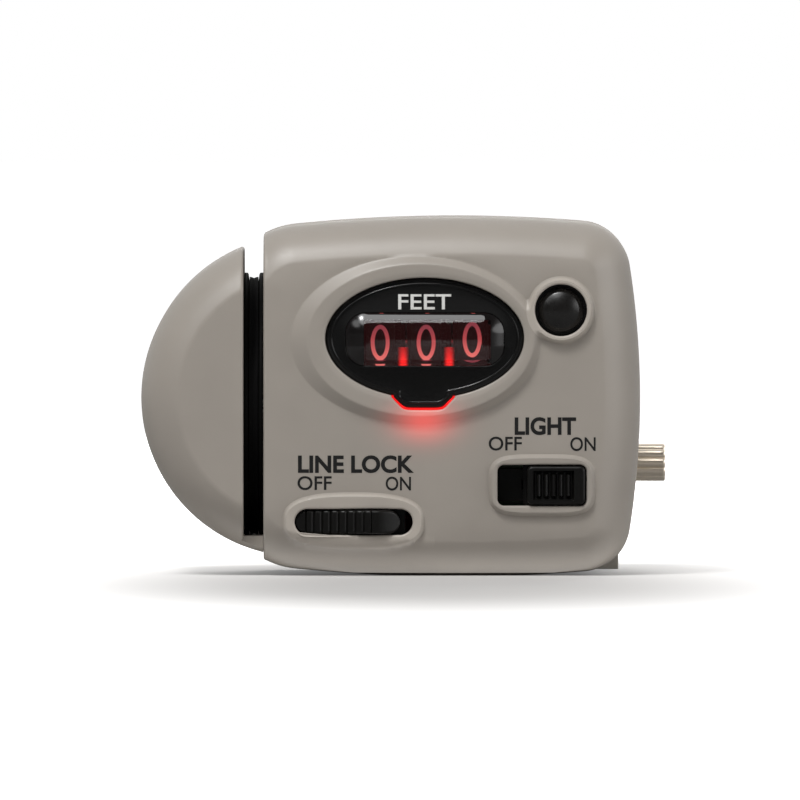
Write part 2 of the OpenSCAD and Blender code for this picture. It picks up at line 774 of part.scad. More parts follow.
// Flush battery door with a finger notch and grip bars
module battery_door() {
  color([0.56, 0.55, 0.52])
  difference() {
    box(door_x0, door_x1, in_back, back_y, door_z0, door_z1);
    for (i = [-2 : 2])
      box(door_x0 + 4, door_x1 - 4, back_y - 0.5, back_y + 1,
        cell_z + i * 1.4 - 0.35, cell_z + i * 1.4 + 0.35);
    rod_y(back_y - 0.8, back_y + 1, 1.6, [(door_x0 + door_x1) / 2, door_z1]);
  }
}

// Wheel disc with two flanges and a groove for the tyre
module measuring_wheel() {
  hw = wheel_w / 2;
  bed_r = line_r - 1;
  color([0.08, 0.08, 0.08])
  difference() {
    turn_x(wheel_x, axis_a) polygon([
      [axle_r, -hw], [3.4, -hw], [3.4, -0.6], [15.4, -0.6], [15.4, -hw], [flange_r - 0.25, -hw],
      [flange_r, -hw + 0.25], [flange_r, -hw + 0.4], [bed_r + 0.3, -hw + 0.55], [bed_r, -hw + 0.55],
      [bed_r, hw - 0.55], [bed_r + 0.3, hw - 0.55], [flange_r, hw - 0.4], [flange_r, hw - 0.25],
      [flange_r - 0.25, hw], [15.4, hw], [15.4, 0.6], [3.4, 0.6], [3.4, hw], [axle_r, hw]
    ]);
    for (i = [0 : 5])
      rod_x(wheel_x - 2, wheel_x + 2, 3, axis_a + 9.4 * [cos(60 * i + 30), sin(60 * i + 30)]);
  }
}

module wheel_tyre() {
  hw = wheel_w / 2 - 0.55;
  bed_r = line_r - 1;
  color([0.04, 0.04, 0.04])
  turn_x(wheel_x, axis_a) polygon([
    [bed_r, -hw], [line_r + 0.05, -hw], [line_r + 0.05, -hw * 0.75], [line_r - 0.12, 0],
    [line_r + 0.05, hw * 0.75], [line_r + 0.05, hw], [bed_r, hw]
  ]);
}

module wheel_axle() {
  color([0.72, 0.72, 0.74])
  rod_x(slot_left - 2.6, frame_x1 - 0.1, axle_r, axis_a);
}

module bush(x0, x1, outer) {
  difference() {
    rod_x(x0, x1, outer, axis_a);
    rod_x(x0 - 1, x1 + 1, axle_r + run, axis_a);
  }
}

module outer_bush() {
  color([0.75, 0.6, 0.3]) bush(slot_left - guard_plate_t - 0.6, slot_left + 0.05, axle_r + 1.2);
}

module inner_bush() {
  color([0.75, 0.6, 0.3]) bush(gear_plate_x0 - 0.2, gear_plate_x1 + 0.2, axle_r + 1.2);
}

// Involute tooth outline; angles in degrees
press_angle = 25;
backlash = 0.07;
function involute(a) = tan(a) * 180 / PI - a;
function flank(m, n, r) =
  let(base = m * n / 2 * cos(press_angle))
  90 / n - backlash / 2 / (m * n / 2) * 180 / PI + involute(press_angle)
    - (r > base ? involute(acos(base / r)) : 0);
function gear_points(m, n, turn) =
  let(r0 = m * n / 2 - 1.15 * m, r1 = m * n / 2 * cos(press_angle) + 0.02 * m)
  let(r2 = m * n / 2, r3 = m * n / 2 + 0.45 * m, r4 = m * n / 2 + 0.9 * m)
  let(low = max(r0 + 0.05 * m, r1), side = [[r0, 0.98], [low, 1], [r2, 1], [r3, 1], [r4, 1]])
  [for (i = [0 : n - 1]) for (s = [-1, 1]) for (k = [0 : 4])
    let(j = s < 0 ? k : 4 - k, r = side[j][0])
    let(a = turn + 360 * i / n + s * flank(m, n, r))
    [r * cos(a), r * sin(a)]];

module gear(m, n, turn, x0, x1, axis, bore) {
  difference() {
    translate([0, axis[0], axis[1]]) along_x(x0, x1) polygon(gear_points(m, n, turn));
    rod_x(x0 - 1, x1 + 1, bore, axis);
  }
}

module drive_pinion() {
  color([0.85, 0.8, 0.65])
  gear(gear_m, teeth_small, ang_al, stage1_x, stage1_x + gear_w, axis_a, axle_r);
}

module layshaft() {
  color([0.72, 0.72, 0.74])
  rod_x(gear_plate_x0 + 0.1, frame_x1 - 0.1, lay_r, axis_l);
}

module reduction_gear() {
  color([0.9, 0.88, 0.8])
  gear(gear_m, teeth_big, ang_al + 180 + 180 / teeth_big, stage1_x, stage1_x + gear_w, axis_l, lay_r);
}

module reduction_pinion() {
  color([0.85, 0.8, 0.65])
  gear(gear_m, teeth_small, ang_lc, stage1_x + gear_w, stage2_x + gear_w + 0.3, axis_l, lay_r);
}

module counter_gear() {
  color([0.9, 0.88, 0.8])
  gear(gear_m, teeth_big, ang_lc + 180 + 180 / teeth_big, stage2_x, stage2_x + gear_w, axis_c, shaft_r);
}

module counter_shaft() {
  color([0.72, 0.72, 0.74])
  rod_x(stage2_x - 0.3, right_x1 + 0.2, shaft_r, axis_c);
}

// Heart cam outline that the reset fingers press on
function heart(n) = [for (i = [0 : n - 1]) let(a = 360 * i / n)
  (cam_low_r + (cam_high_r - cam_low_r) * abs(180 - a) / 180) * [cos(a - 90), sin(a - 90)]];

// Number wheel: rim, web, hub, ring gear and heart cam on the right, locking disc on the left
module number_wheel(xc, bore, geared) {
  hw = drum_w / 2;
  difference() {
    union() {
      turn_x(xc, axis_c) polygon([
        [0.4, -hw - disc_w], [2.5, -hw - disc_w], [2.5, hw - 1.2], [drum_r - 1.3, hw - 1.2],
        [drum_r - 1.3, -hw], [drum_r - 0.12, -hw], [drum_r, -hw + 0.12], [drum_r, hw - 0.12],
        [drum_r - 0.12, hw], [0.4, hw]
      ]);
      difference() {
        rod_x(xc - hw - disc_w, xc - hw, disc_r, axis_c);
        rod_x(xc - hw - 2, xc - hw + 1, 1.3, axis_c + (disc_r + 0.4) * [0, 1]);
      }
      if (geared)
        gear(transfer_m, transfer_ring_t, transfer_dir, xc + hw - 0.1, xc + hw + ring_w, axis_c, 0.5);
      translate([0, axis_c[0], axis_c[1]])
        along_x(xc + hw - 0.05, xc + hw + ring_w + cam_w) polygon(heart(40));
    }
    rod_x(xc - 9, xc + 9, bore, axis_c);
  }
}

module ones_wheel() {
  color([0.05, 0.05, 0.05]) number_wheel(ones_x, shaft_r, false);
}

module tens_wheel() {
  color([0.06, 0.06, 0.06]) number_wheel(tens_x, shaft_r + run, true);
}

module hundreds_wheel() {
  color([0.07, 0.07, 0.07]) number_wheel(hundreds_x, shaft_r + run, true);
}

module transfer_shaft() {
  color([0.72, 0.72, 0.74])
  rod_x(frame_x0 + 0.1, right_x1 - 0.1, transfer_shaft_r, axis_t);
}

module transfer_pinion(xc) {
  x0 = xc + drum_w / 2 + 0.1;
  gear(transfer_m, transfer_pinion_t, transfer_dir + 180 + 180 / transfer_pinion_t,
    x0, x0 + digit_pitch - drum_w - 0.2, axis_t, transfer_shaft_r + run);
}

module tens_pinion() {
  color([0.85, 0.2, 0.15]) transfer_pinion(tens_x);
}

module hundreds_pinion() {
  color([0.8, 0.2, 0.15]) transfer_pinion(hundreds_x);
}

// U-shaped frame that carries the register and one end of the train
module counter_frame() {
  notch_z = comb_z0 - button_stroke - 0.3;
  color([0.2, 0.2, 0.21])
  difference() {
    union() {
      box(frame_x0, frame_x1, frame_front, frame_rear, web_z0, frame_top);
      box(right_x0, right_x1, right_front, right_rear, web_z0, frame_top);
      box(frame_x0, right_x1, web_y0, flange_y0 + 0.5, web_z0, web_z1);
      box(frame_x0, right_x1, flange_y0, flange_y1, flange_z0, web_z1 + 3);
    }
    rod_x(frame_x0 - 1, frame_x1 + 1, axle_r + run, axis_a);
    rod_x(frame_x0 - 1, frame_x1 + 1, lay_r + run, axis_l);
    rod_x(frame_x0 - 1, right_x1 + 1, shaft_r + run, axis_c);
    rod_x(frame_x0 - 1, right_x1 + 1, transfer_shaft_r, axis_t);
    box(frame_x0 - 1, right_x1 + 1, axis_c[0] - comb_half - run, axis_c[0] + comb_half + run,
      notch_z, frame_top + 1);
    for (s = standoffs) rod_x(frame_x0 - 1, frame_x1 + 1, 0.9, s);
    for (b = frame_posts) rod_y(flange_y0 - 1, flange_y1 + 1, 1, b);
  }
}

// Plate beside the wheel with three standoffs to the counter frame
module gear_plate() {
  color([0.6, 0.6, 0.62])
  difference() {
    union() {
      box(gear_plate_x0, gear_plate_x1, frame_front, in_back - 2.9,
        standoffs[1][1] - plate_edge, standoffs[2][1] + plate_edge);
      for (s = standoffs) rod_x(gear_plate_x1 - 0.1, frame_x0, standoff_r, s);
    }
    rod_x(gear_plate_x0 - 1, gear_plate_x1 + 1, axle_r + 1.2, axis_a);
    rod_x(gear_plate_x0 - 1, gear_plate_x1 + 1, lay_r + run, axis_l);
    for (s = standoffs) rod_x(frame_x0 - 4, frame_x0 + 1, 0.8, s);
  }
}

// Domed button with its retaining flange and a stem that ends in a 45 degree nose
module reset_button() {
  top = front_y - bezel_raise * 0.9;
  dome_r = 9;
  nose = ramp_k - ramp_gap;
  color([0.05, 0.05, 0.05])
  translate([button_x, 0, button_z])
  difference() {
    union() {
      intersection() {
        rod_y(top - 1, button_flange_y + 0.1, button_r, [0, 0]);
        translate([0, top + dome_r - 0.35, 0]) sphere(dome_r);
      }
      rod_y(button_flange_y, button_flange_y + flange_t, button_flange_r, [0, 0]);
      rod_y(button_flange_y, arm_y0 + 4, stem_r, [0, 0]);
    }
    translate([0, button_z - ramp_k - ramp_gap, 0]) rotate([-45, 0, 0])
      box(-2 * stem_r, 2 * stem_r, 0, 9, -12, 12);
  }
}

// Coil spring as one swept wire
module coil(turns, length, r, wire) {
  sides = 8;
  per = 16;
  n = turns * per;
  pts = [for (i = [0 : n]) for (k = [0 : sides - 1])
    let(a = 360 * i / per, b = 360 * k / sides, q = r + wire * cos(b))
    [q * cos(a), q * sin(a), wire + (length - 2 * wire) * i / n + wire * sin(b)]];
  skin = [for (i = [0 : n - 1]) for (k = [0 : sides - 1]) let(j = (k + 1) % sides)
    [i * sides + k, i * sides + j, (i + 1) * sides + j, (i + 1) * sides + k]];
  polyhedron(points = pts, faces = concat([[for (k = [sides - 1 : -1 : 0]) k]],
    [[for (k = [0 : sides - 1]) n * sides + k]], [for (f = skin) [f[3], f[2], f[1], f[0]]]));
}

spring_y0 = button_flange_y + flange_t;
spring_len = seat_y0 - spring_y0;
spring_turns = 4;
echo(reset_spring_self_gap = (spring_len - 2 * wire_r) / spring_turns - 2 * wire_r);
module reset_spring() {
  color([0.7, 0.7, 0.72])
  translate([button_x, spring_y0, button_z]) rotate([-90, 0, 0])
    coil(spring_turns, spring_len, coil_r, wire_r);
}

// Ring pressed into the button well, which the spring stands on
module spring_seat() {
  color([0.3, 0.3, 0.3])
  difference() {
    rod_y(seat_y0, seat_y0 + seat_t, well_r, [button_x, button_z]);
    rod_y(seat_y0 - 1, seat_y0 + seat_t + 1, stem_r + run, [button_x, button_z]);
  }
}

// Comb whose fingers drop on the heart cams; its arm ends in the ramp under the stem
module reset_comb() {
  color([0.7, 0.68, 0.6])
  union() {
    box(frame_x0 + 0.1, button_x + comb_arm_half, axis_c[0] - comb_half, axis_c[0] + comb_half,
      comb_z0, comb_z0 + comb_t);
    for (x = [hundreds_x, tens_x, ones_x])
      box(x + drum_w / 2 + ring_w + 0.05, x + drum_w / 2 + ring_w + cam_w - 0.05,
        axis_c[0] - 1, axis_c[0] + 1, finger_tip, comb_z0 + 0.1);
    along_x(button_x - comb_arm_half, button_x + comb_arm_half) polygon([
      [ramp_y, ramp_y + ramp_k], [ramp_y, arm_low], [arm_y1, arm_low], [arm_y1, comb_z0 + comb_t],
      [axis_c[0] - comb_half, comb_z0 + comb_t], [axis_c[0] - comb_half, comb_z0],
      [arm_y0, comb_z0], [arm_y0, arm_y0 + ramp_k]
    ]);
  }
}

// Line lock knob: a scooped, ribbed ramp on a back plate with a drive pin
module lock_slider() {
  low = front_y - 0.3;
  peak = front_y - lock_peak;
  x0 = knob_x0;
  scoop0 = x0 + 1.4;
  scoop1 = x0 + 11.4;
  ribs = 8;
  step = (scoop1 - scoop0) / ribs;
  function scoop(u) = low + (peak - low) * pow(u, 1.6);
  top = concat(
    [[x0 - 1, low - 0.2], [scoop0 - 0.2, low - 0.2]],
    [for (i = [0 : ribs - 1]) for (k = [0 : 3]) let(u = (i + [0.05, 0.3, 0.6, 0.95][k]) / ribs)
      [scoop0 + step * (i + [0.05, 0.3, 0.6, 0.95][k]), scoop(u) + [0.3, 0, 0, 0.3][k]]],
    [[scoop1 + 0.3, peak], [scoop1 + 1.1, peak + 0.1], [x0 + knob_len - 0.6, low - 0.3],
      [x0 + knob_len + 1, low + 0.2]]);
  color([0.05, 0.05, 0.05])
  union() {
    intersection() {
      translate([lock_x - lock_slot_w / 2 + slide_gap + knob_len / 2, 0, lock_z])
        along_y(front_y - 6, lock_plate_y + 0.1)
          slot_shape(knob_len, lock_slot_h - 2 * slide_gap, 0);
      translate([0, 0, lock_z - lock_slot_h]) linear_extrude(2 * lock_slot_h)
        polygon(concat(top, [[x0 + knob_len + 1, in_front + 2], [x0 - 1, in_front + 2]]));
    }
    box(lock_plate_x0, lock_plate_x1, lock_plate_y, lock_plate_y + lock_plate_t,
      lock_z - lock_plate_h / 2, lock_z + lock_plate_h / 2);
    rod_y(lock_plate_y, pin_y + pin_r / 2, pin_r, [pivot[0] - lock_travel / 2, lock_z]);
  }
}

// Places a piece of the lever at its resting angle
module lever_rest() {
  translate([pivot[0], pivot[1], lock_z]) rotate([0, 0, -lever_turn / 2]) children();
}

module lock_lever() {
  color([0.75, 0.75, 0.72])
  lever_rest()
  difference() {
    union() {
      translate([0, 0, -lever_t / 2]) cylinder(h = lever_t, r = 2);
      box(-fork_half, fork_half, -lever_front - pin_r, 0, -lever_t / 2, lever_t / 2);
      box(-1.2, 1.2, 0, lever_rear + 1.6, -lever_t / 2, lever_t / 2);
      rod_x(-1.7, 0, pad_r, [lever_rear, 0]);
    }
    box(-pin_r - pin_play, pin_r + pin_play, -lever_front - 2, -lever_front + 1, -lever_t, lever_t);
    translate([0, 0, -3]) cylinder(h = 6, r = pivot_r + run);
  }
}

module lock_pad() {
  color([0.1, 0.1, 0.1])
  lever_rest() union() {
    rod_x(-pad_reach + pad_step, -1.7, pad_r, [lever_rear, 0]);
    rod_x(-pad_reach, -pad_reach + pad_step + 0.05, pad_r - pad_step, [lever_rear, 0]);
  }
}

module lock_pivot() {
  color([0.72, 0.72, 0.74])
  translate([pivot[0], pivot[1], pivot_foot])
    cylinder(h = lock_z + lever_t / 2 + 0.8 - pivot_foot, r = pivot_r);
}

// Clamp bracket: cradle arm on the left, screw arm on the right, joined by a web
module rod_clamp() {
  color([0.5, 0.49, 0.47])
  difference() {
    union() {
      box(clamp_x0, clamp_x1, back_y, back_y + web_t, clamp_z0, clamp_z1);
      along_x(clamp_x0, cradle_face)
        translate([(back_y + clamp_back) / 2, screw_z])
          round_rect(clamp_back - back_y, clamp_h, 2);
      along_x(arm_x0, clamp_x1)
        translate([(back_y + clamp_back) / 2, screw_z])
          round_rect(clamp_back - back_y, clamp_h, 2);
    }
    translate([rod_x, rod_y, clamp_z0 - 1]) cylinder(h = clamp_h + 2, r = groove_r);
    rod_x(arm_x0 - 1, clamp_x1 + 1, insert_r, [rod_y, screw_z]);
    for (b = clamp_posts) rod_y(back_y - 1, back_y + web_t + 1, 1.2, b);
    for (b = clamp_posts) rod_y(back_y + web_t - 1, back_y + web_t + 1, 2.2, b);
  }
}

module cradle_liner() {
  color([0.1, 0.1, 0.1])
  intersection() {
    difference() {
      translate([rod_x, rod_y, clamp_z0 + 1]) cylinder(h = clamp_h - 2, r = groove_r);
      translate([rod_x, rod_y, clamp_z0]) cylinder(h = clamp_h, r = rod_r);
    }
    box(clamp_x0, cradle_face, back_y, clamp_back + 5, clamp_z0, clamp_z1);
  }
}

module thread_insert() {
  color([0.75, 0.6, 0.3])
  difference() {
    rod_x(arm_x0, clamp_x1, insert_r, [rod_y, screw_z]);
    rod_x(arm_x0 - 1, clamp_x1 + 1, screw_r + run, [rod_y, screw_z]);
  }
}

// Brass clamp screw with a fluted head and a turned tip
module thumb_screw() {
  lobe = head_r * 0.29;
  axis = [rod_y, screw_z];
  color([0.85, 0.7, 0.4])
  union() {
    intersection() {
      union() {
        rod_x(head_x0, head_x1, head_r * 0.82, axis);
        for (i = [0 : flutes - 1])
          rod_x(head_x0, head_x1, lobe, axis + (head_r - lobe) * [cos(36 * i), sin(36 * i)]);
      }
      turn_x(head_x0, axis) polygon([
        [0, 0], [head_r - 0.3, 0], [head_r + 0.1, 0.4], [head_r + 0.1, head_len - 0.4],
        [head_r - 0.3, head_len], [0, head_len]
      ]);
    }
    rod_x(pad_face + pad_t + 0.1, head_x0 + 0.1, screw_r, axis);
    rod_x(pad_face + pad_t - tip_depth + 0.1, pad_face + pad_t + 0.2, tip_r, axis);
  }
}

module pressure_pad() {
  color([0.15, 0.15, 0.15])
  difference() {
    rod_x(pad_face, pad_face + pad_t, clamp_pad_r, [rod_y, screw_z]);
    rod_x(pad_face + pad_t - tip_depth, pad_face + pad_t + 1, tip_r + run, [rod_y, screw_z]);
  }
}

// Screws: a head with a cross slot on a plain shank, drawn pointing along -Y from the head
module screw(head, shank, length) {
  difference() {
    union() {
      rod_y(0, 1, head, [0, 0]);
      rod_y(-length, 0.1, shank, [0, 0]);
    }
    box(-head * 0.65, head * 0.65, 0.55, 2, -0.2, 0.2);
    box(-0.2, 0.2, 0.55, 2, -head * 0.65, head * 0.65);
  }
}

module housing_screws() {
  color([0.7, 0.7, 0.72])
  for (b = bosses) translate([b[0], back_y - screw_sink, b[1]])
    screw(screw_head_r, pilot_r, back_y - screw_sink - part_y + screw_bite);
}

module guard_screws() {
  color([0.7, 0.7, 0.72])
  union() {
    for (y = tongue_screws) translate([tongue_x, y, tongue_seat]) rotate([-90, 0, 0])
      screw(screw_head_r, pilot_r, tongue_screw_len);
    for (s = [-1, 1]) translate([slot_left - guard_seat, guard_screw_y, mid_z + s * guard_screw_z])
      rotate([0, 0, -90]) screw(screw_head_r, pilot_r, guard_screw_len);
  }
}

module clamp_screws() {
  color([0.7, 0.7, 0.72])
  for (b = clamp_posts) translate([b[0], back_y + web_t - 1, b[1]])
    screw(clamp_head_r, clamp_shank_r, clamp_screw_len);
}

module frame_screws() {
  color([0.7, 0.7, 0.72])
  for (b = frame_posts) translate([b[0], flange_y0, b[1]]) rotate([0, 0, 180])
    screw(frame_head_r, plate_screw_r, frame_screw_len);
}

module board_screws() {
  color([0.7, 0.7, 0.72])
  for (b = board_posts) translate([b[0], board_y0 + board_t, b[1]])
    screw(screw_head_r, post_bore_r, board_t + post_bore - 0.6);
}

module plate_screws() {
  color([0.7, 0.7, 0.72])
  for (s = standoffs) translate([frame_x1, s[0], s[1]]) rotate([0, 0, -90])
    screw(screw_head_r, plate_screw_r, plate_screw_len);
}

place() {
  front_housing();
  rear_cover();
  line_guard();
  guard_plate();
  display_panel();
  display_lens();
  light_guide();
  lamp_led();
  lamp_board();
  switch_body();
  lamp_switch();
  battery_holder();
  battery_cells();
  battery_contacts();
  battery_door();
  measuring_wheel();
  wheel_tyre();
  wheel_axle();
  outer_bush();
  inner_bush();
  drive_pinion();
  layshaft();
  reduction_gear();
  reduction_pinion();
  counter_gear();
  counter_shaft();
  ones_wheel();
  tens_wheel();
  hundreds_wheel();
  transfer_shaft();
  tens_pinion();
  hundreds_pinion();
  counter_frame();
  gear_plate();
  reset_button();
  reset_spring();
  spring_seat();
  reset_comb();
  lock_slider();
  lock_lever();
  lock_pad();
  lock_pivot();
  rod_clamp();
  cradle_liner();
  thread_insert();
  thumb_screw();
  pressure_pad();
  housing_screws();
  guard_screws();
  clamp_screws();
  frame_screws();
  board_screws();
  plate_screws();
}
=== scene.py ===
import math

import bmesh
import bpy
import numpy as np
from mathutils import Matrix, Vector
from mathutils.geometry import delaunay_2d_cdt


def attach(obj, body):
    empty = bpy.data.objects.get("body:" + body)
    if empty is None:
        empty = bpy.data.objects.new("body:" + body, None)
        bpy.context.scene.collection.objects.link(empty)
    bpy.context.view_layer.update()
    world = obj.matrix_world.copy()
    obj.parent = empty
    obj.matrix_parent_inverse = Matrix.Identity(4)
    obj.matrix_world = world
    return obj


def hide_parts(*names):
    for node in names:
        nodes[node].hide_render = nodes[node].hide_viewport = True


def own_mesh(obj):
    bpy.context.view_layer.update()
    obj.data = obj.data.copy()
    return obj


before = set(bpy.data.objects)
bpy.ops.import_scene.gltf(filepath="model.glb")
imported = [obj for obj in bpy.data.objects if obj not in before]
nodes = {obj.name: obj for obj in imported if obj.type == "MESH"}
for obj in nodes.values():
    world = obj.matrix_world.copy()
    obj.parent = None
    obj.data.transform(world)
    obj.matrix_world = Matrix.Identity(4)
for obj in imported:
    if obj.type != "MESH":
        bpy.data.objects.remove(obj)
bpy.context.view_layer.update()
scene = bpy.context.scene

# -------- studio
# A long lens looks straight at the front from just above the middle, over a white table that
# runs out to a white room. A small and a wide lamp hang at the upper left, one behind throws
# the shadow forward, side lamps draw the edge lights, and a strip lights the lower roll.
scene.view_settings.view_transform = "Standard"


def placed(name, data):
    """A new object in the scene."""
    made = bpy.data.objects.new(name, data)
    scene.collection.objects.link(made)
    return made


scene.camera = camera = placed("camera", bpy.data.cameras.new("camera"))
camera.data.lens, camera.data.sensor_width, camera.data.clip_end = 1200, 36, 30
aim, tilt, distance = Vector((-0.0007, -0.0283, 0.02645)), math.radians(1.1), 4.0
camera.location = aim + distance * Vector((0, -math.cos(tilt), math.sin(tilt)))
camera.rotation_euler = (math.radians(90) - tilt, 0, 0)


def lamp(name, place, watts, width, height, aim=(0, -0.01, 0.03)):
    """An oval lamp at a place in metres, turned to a point."""
    light = bpy.data.lights.new(name, "AREA")
    light.shape, light.size, light.size_y, light.energy = "ELLIPSE", width, height, watts
    held = placed(name, light)
    held.location, held.visible_camera = place, False
    held.rotation_euler = (Vector(aim) - held.location).to_track_quat("-Z", "Y").to_euler()
    return held


lamp("lamp_key", (-0.26, -0.46, 0.86), 3.6, 0.16, 0.16)
lamp("lamp_wide", (-0.18, -0.52, 0.83), 4.6, 0.52, 0.60)
lamp("lamp_back", (0.12, 0.90, 0.34), 9.5, 0.7, 0.28).visible_glossy = False
lamp("lamp_left", (-0.58, -0.54, 0.58), 1.2, 0.4, 0.4)
lamp("lamp_right", (0.90, -0.42, 0.30), 3.3, 0.90, 0.55)
lamp("lamp_strip", (0.004, -0.0252, 0.0004), 0.0010, 0.088, 0.007, (0.004, -0.0251, 1))


def feed(socket, value):
    """Links a socket to another node's output, or sets it to a value."""
    if isinstance(value, bpy.types.NodeSocket):
        socket.id_data.links.new(value, socket)
    else:
        socket.default_value = value


def add(tree, kind, sockets, out=0, **settings):
    """A new node, with its settings made and its sockets fed with values or other nodes' outputs.
    Returns one output."""
    node = tree.nodes.new(kind if "Node" in kind else "ShaderNode" + kind)
    for name, value in settings.items():
        setattr(node, name, value)
    for key, value in sockets.items():
        feed(node.inputs[key], value)
    return node.outputs[out] if node.outputs else None


def calc(kind, *values):
    """One step of arithmetic on numbers and node outputs."""
    tree = next(v.id_data for v in values if isinstance(v, bpy.types.NodeSocket))
    return add(tree, "Math", dict(enumerate(values)), operation=kind)


def mapped(value, start, stop, low=0.0, high=1.0, **settings):
    """A node output taken from start-stop to low-high, and held there outside."""
    return add(value.id_data, "MapRange", {"Value": value, "From Min": start, "From Max": stop,
                                           "To Min": low, "To Max": high}, **settings)


def mixed(share, a, b, **settings):
    """Colour a turned to colour b by a share."""
    return add(share.id_data, "Mix", {0: share, 6: a, 7: b}, 2, data_type="RGBA", **settings)


def surface(tree, **sockets):
    """Feeds the surface shader's sockets; _ stands for a space in their names."""
    for name, value in sockets.items():
        feed(tree.nodes["Principled BSDF"].inputs[name.replace("_", " ")], value)


scene.world = bpy.data.worlds.new("room")
scene.world.use_nodes = True
room = scene.world.node_tree
ray = add(room, "LightPath", {}).node.outputs
way = add(room, "SeparateXYZ", {0: add(room, "TexCoord", {}, "Generated")}).node.outputs
around = calc("MAXIMUM", mapped(way["Y"], -0.35, 0.45, 0.05, 0.8), mapped(way["X"], 0.55, 0.85))
mirrored = calc("MAXIMUM", ray["Is Glossy Ray"], ray["Is Transmission Ray"])
shown = add(room, "Mix", {0: mirrored, 2: 0.13, 3: around})
sky = room.nodes["Background"].inputs
feed(sky["Color"], (1, 1, 1, 1))
feed(sky["Strength"], add(room, "Mix", {0: ray["Is Camera Ray"], 2: shown, 3: 1.0}))

table = bpy.data.meshes.new("table")
table.from_pydata([(-6, -6, 0), (6, -6, 0), (6, 6, 0), (-6, 6, 0)], [], [(0, 1, 2, 3)])
floor = placed("table", table)
table.materials.append(bpy.data.materials.new("table_paper"))
table.materials[0].use_nodes = True
sheet = table.materials[0].node_tree
ray = add(sheet, "LightPath", {}).node.outputs
# Painted shadow: for the camera the floor is lifted to white except in a pool in front of the object, shaped
# like the shadow, where it stays grey; the real cast shadow shows within it
painted_shadow_pool = add(sheet, "Mapping", {"Vector": add(sheet, "TexCoord", {}, "Object"),
                              "Location": (-0.008, 0.045, 0), "Scale": (1.45, 0.5, 0)})
far = add(sheet, "VectorMath", {0: painted_shadow_pool}, "Value", operation="LENGTH")
rise = mapped(far, 0.02, 0.14, interpolation_type="SMOOTHSTEP")
# Painted reflection: seen in reflections the floor is painted darker, so it shows dimmer in the lens and
# other glossy parts
surface(sheet, Roughness=0.9, Specular_IOR_Level=0.0, Emission_Color=(1, 1, 1, 1),
        Emission_Strength=calc("MULTIPLY", ray["Is Camera Ray"], rise),
        Base_Color=mixed(ray["Is Glossy Ray"], (0.52, 0.51, 0.50, 1), (0.26, 0.26, 0.26, 1)))

# -------- front housing
# The front half of the case, one moulding in satin warm grey plastic: a bowed
# face with rolled edges, a raised oval collar that runs into the button ring,
# two raised switch rims, and the flat cheek beside the wheel slot.
front_y, back_y, part_y = -28.2874, 14.7126, -2.7874
slot_x, slot_left, slot_edge, mid_z = -21.2, -24.2, 0.45, 26.725
front_roll, back_roll = (8.5, 20), (4.0, 10)


def mould(name, colour, rough, grain=2400, relief=30, drift=0.05, spec=0.5, metal=0.0, **sockets):
    """Moulded or turned finish: fine noise gives gloss and a grain of some micrometres' relief, and
    slow noise shifts the tone by drift."""
    material = bpy.data.materials.new(name)
    material.use_nodes = True
    tree = material.node_tree
    place = add(tree, "TexCoord", {}, "Object")
    fine, slow = (add(tree, "TexNoise", {"Vector": place, "Scale": scale, "Detail": detail}, "Fac")
                  for scale, detail in ((grain, 3), (110, 2)))
    tone = add(tree, "ValToRGB", {0: slow})
    low, high = tone.node.color_ramp.elements
    low.position, high.position = 0.3, 0.7
    low.color = (*[c * (1 - drift) for c in colour], 1)
    high.color = (*[min(c * (1 + drift), 1) for c in colour], 1)
    bump = add(tree, "Bump", {"Strength": 0.4, "Distance": relief / 1e6, "Height": fine})
    gloss = mapped(fine, 0, 1, max(rough - 0.08, 0.02), rough + 0.08)
    surface(tree, Base_Color=tone, Normal=bump, Roughness=gloss, Metallic=metal, Specular_IOR_Level=spec,
            **sockets)
    return material


def grid(rows, ring=False, loop=False):
    """Triangles over rows of points, two to a cell; ring closes the columns and loop the rows."""
    index = np.arange(rows.shape[0] * rows.shape[1]).reshape(rows.shape[:2])
    index = np.hstack([index, index[:, :1]]) if ring else index
    index = np.vstack([index, index[:1]]) if loop else index
    a, b, c, d = (k.ravel() for k in (index[:-1, :-1], index[:-1, 1:], index[1:, 1:], index[1:, :-1]))
    return rows.reshape(-1, 3), np.concatenate([np.stack([a, b, c], 1), np.stack([a, c, d], 1)])


def gathered(patches):
    """One mesh from several patches, each a pair of points and faces."""
    start = np.cumsum([0] + [len(p) for p, _ in patches])
    return (np.concatenate([p for p, _ in patches]),
            np.concatenate([f + s for (_, f), s in zip(patches, start)]))


def join(*patches):
    """One mesh from several patches: points at the same place become one and collapsed faces go."""
    points, faces = gathered(patches)
    _, first, same = np.unique(np.round(points, 5), axis=0, return_index=True, return_inverse=True)
    faces = same.reshape(-1)[faces]
    return points[first], faces[(np.diff(np.sort(faces, 1), axis=1) > 0).all(1)]


def inside(points, loop):
    """True where a ray from the point crosses the closed loop an odd number of times."""
    a, b = loop, np.roll(loop, -1, axis=0)
    x, y = points[:, :1], points[:, 1:]
    over = (a[:, 1] > y) != (b[:, 1] > y)
    with np.errstate(divide="ignore", invalid="ignore"):
        at = a[:, 0] + (y - a[:, 1]) * (b[:, 0] - a[:, 0]) / (b[:, 1] - a[:, 1])
    return (over & (x < at)).sum(1) % 2 == 1


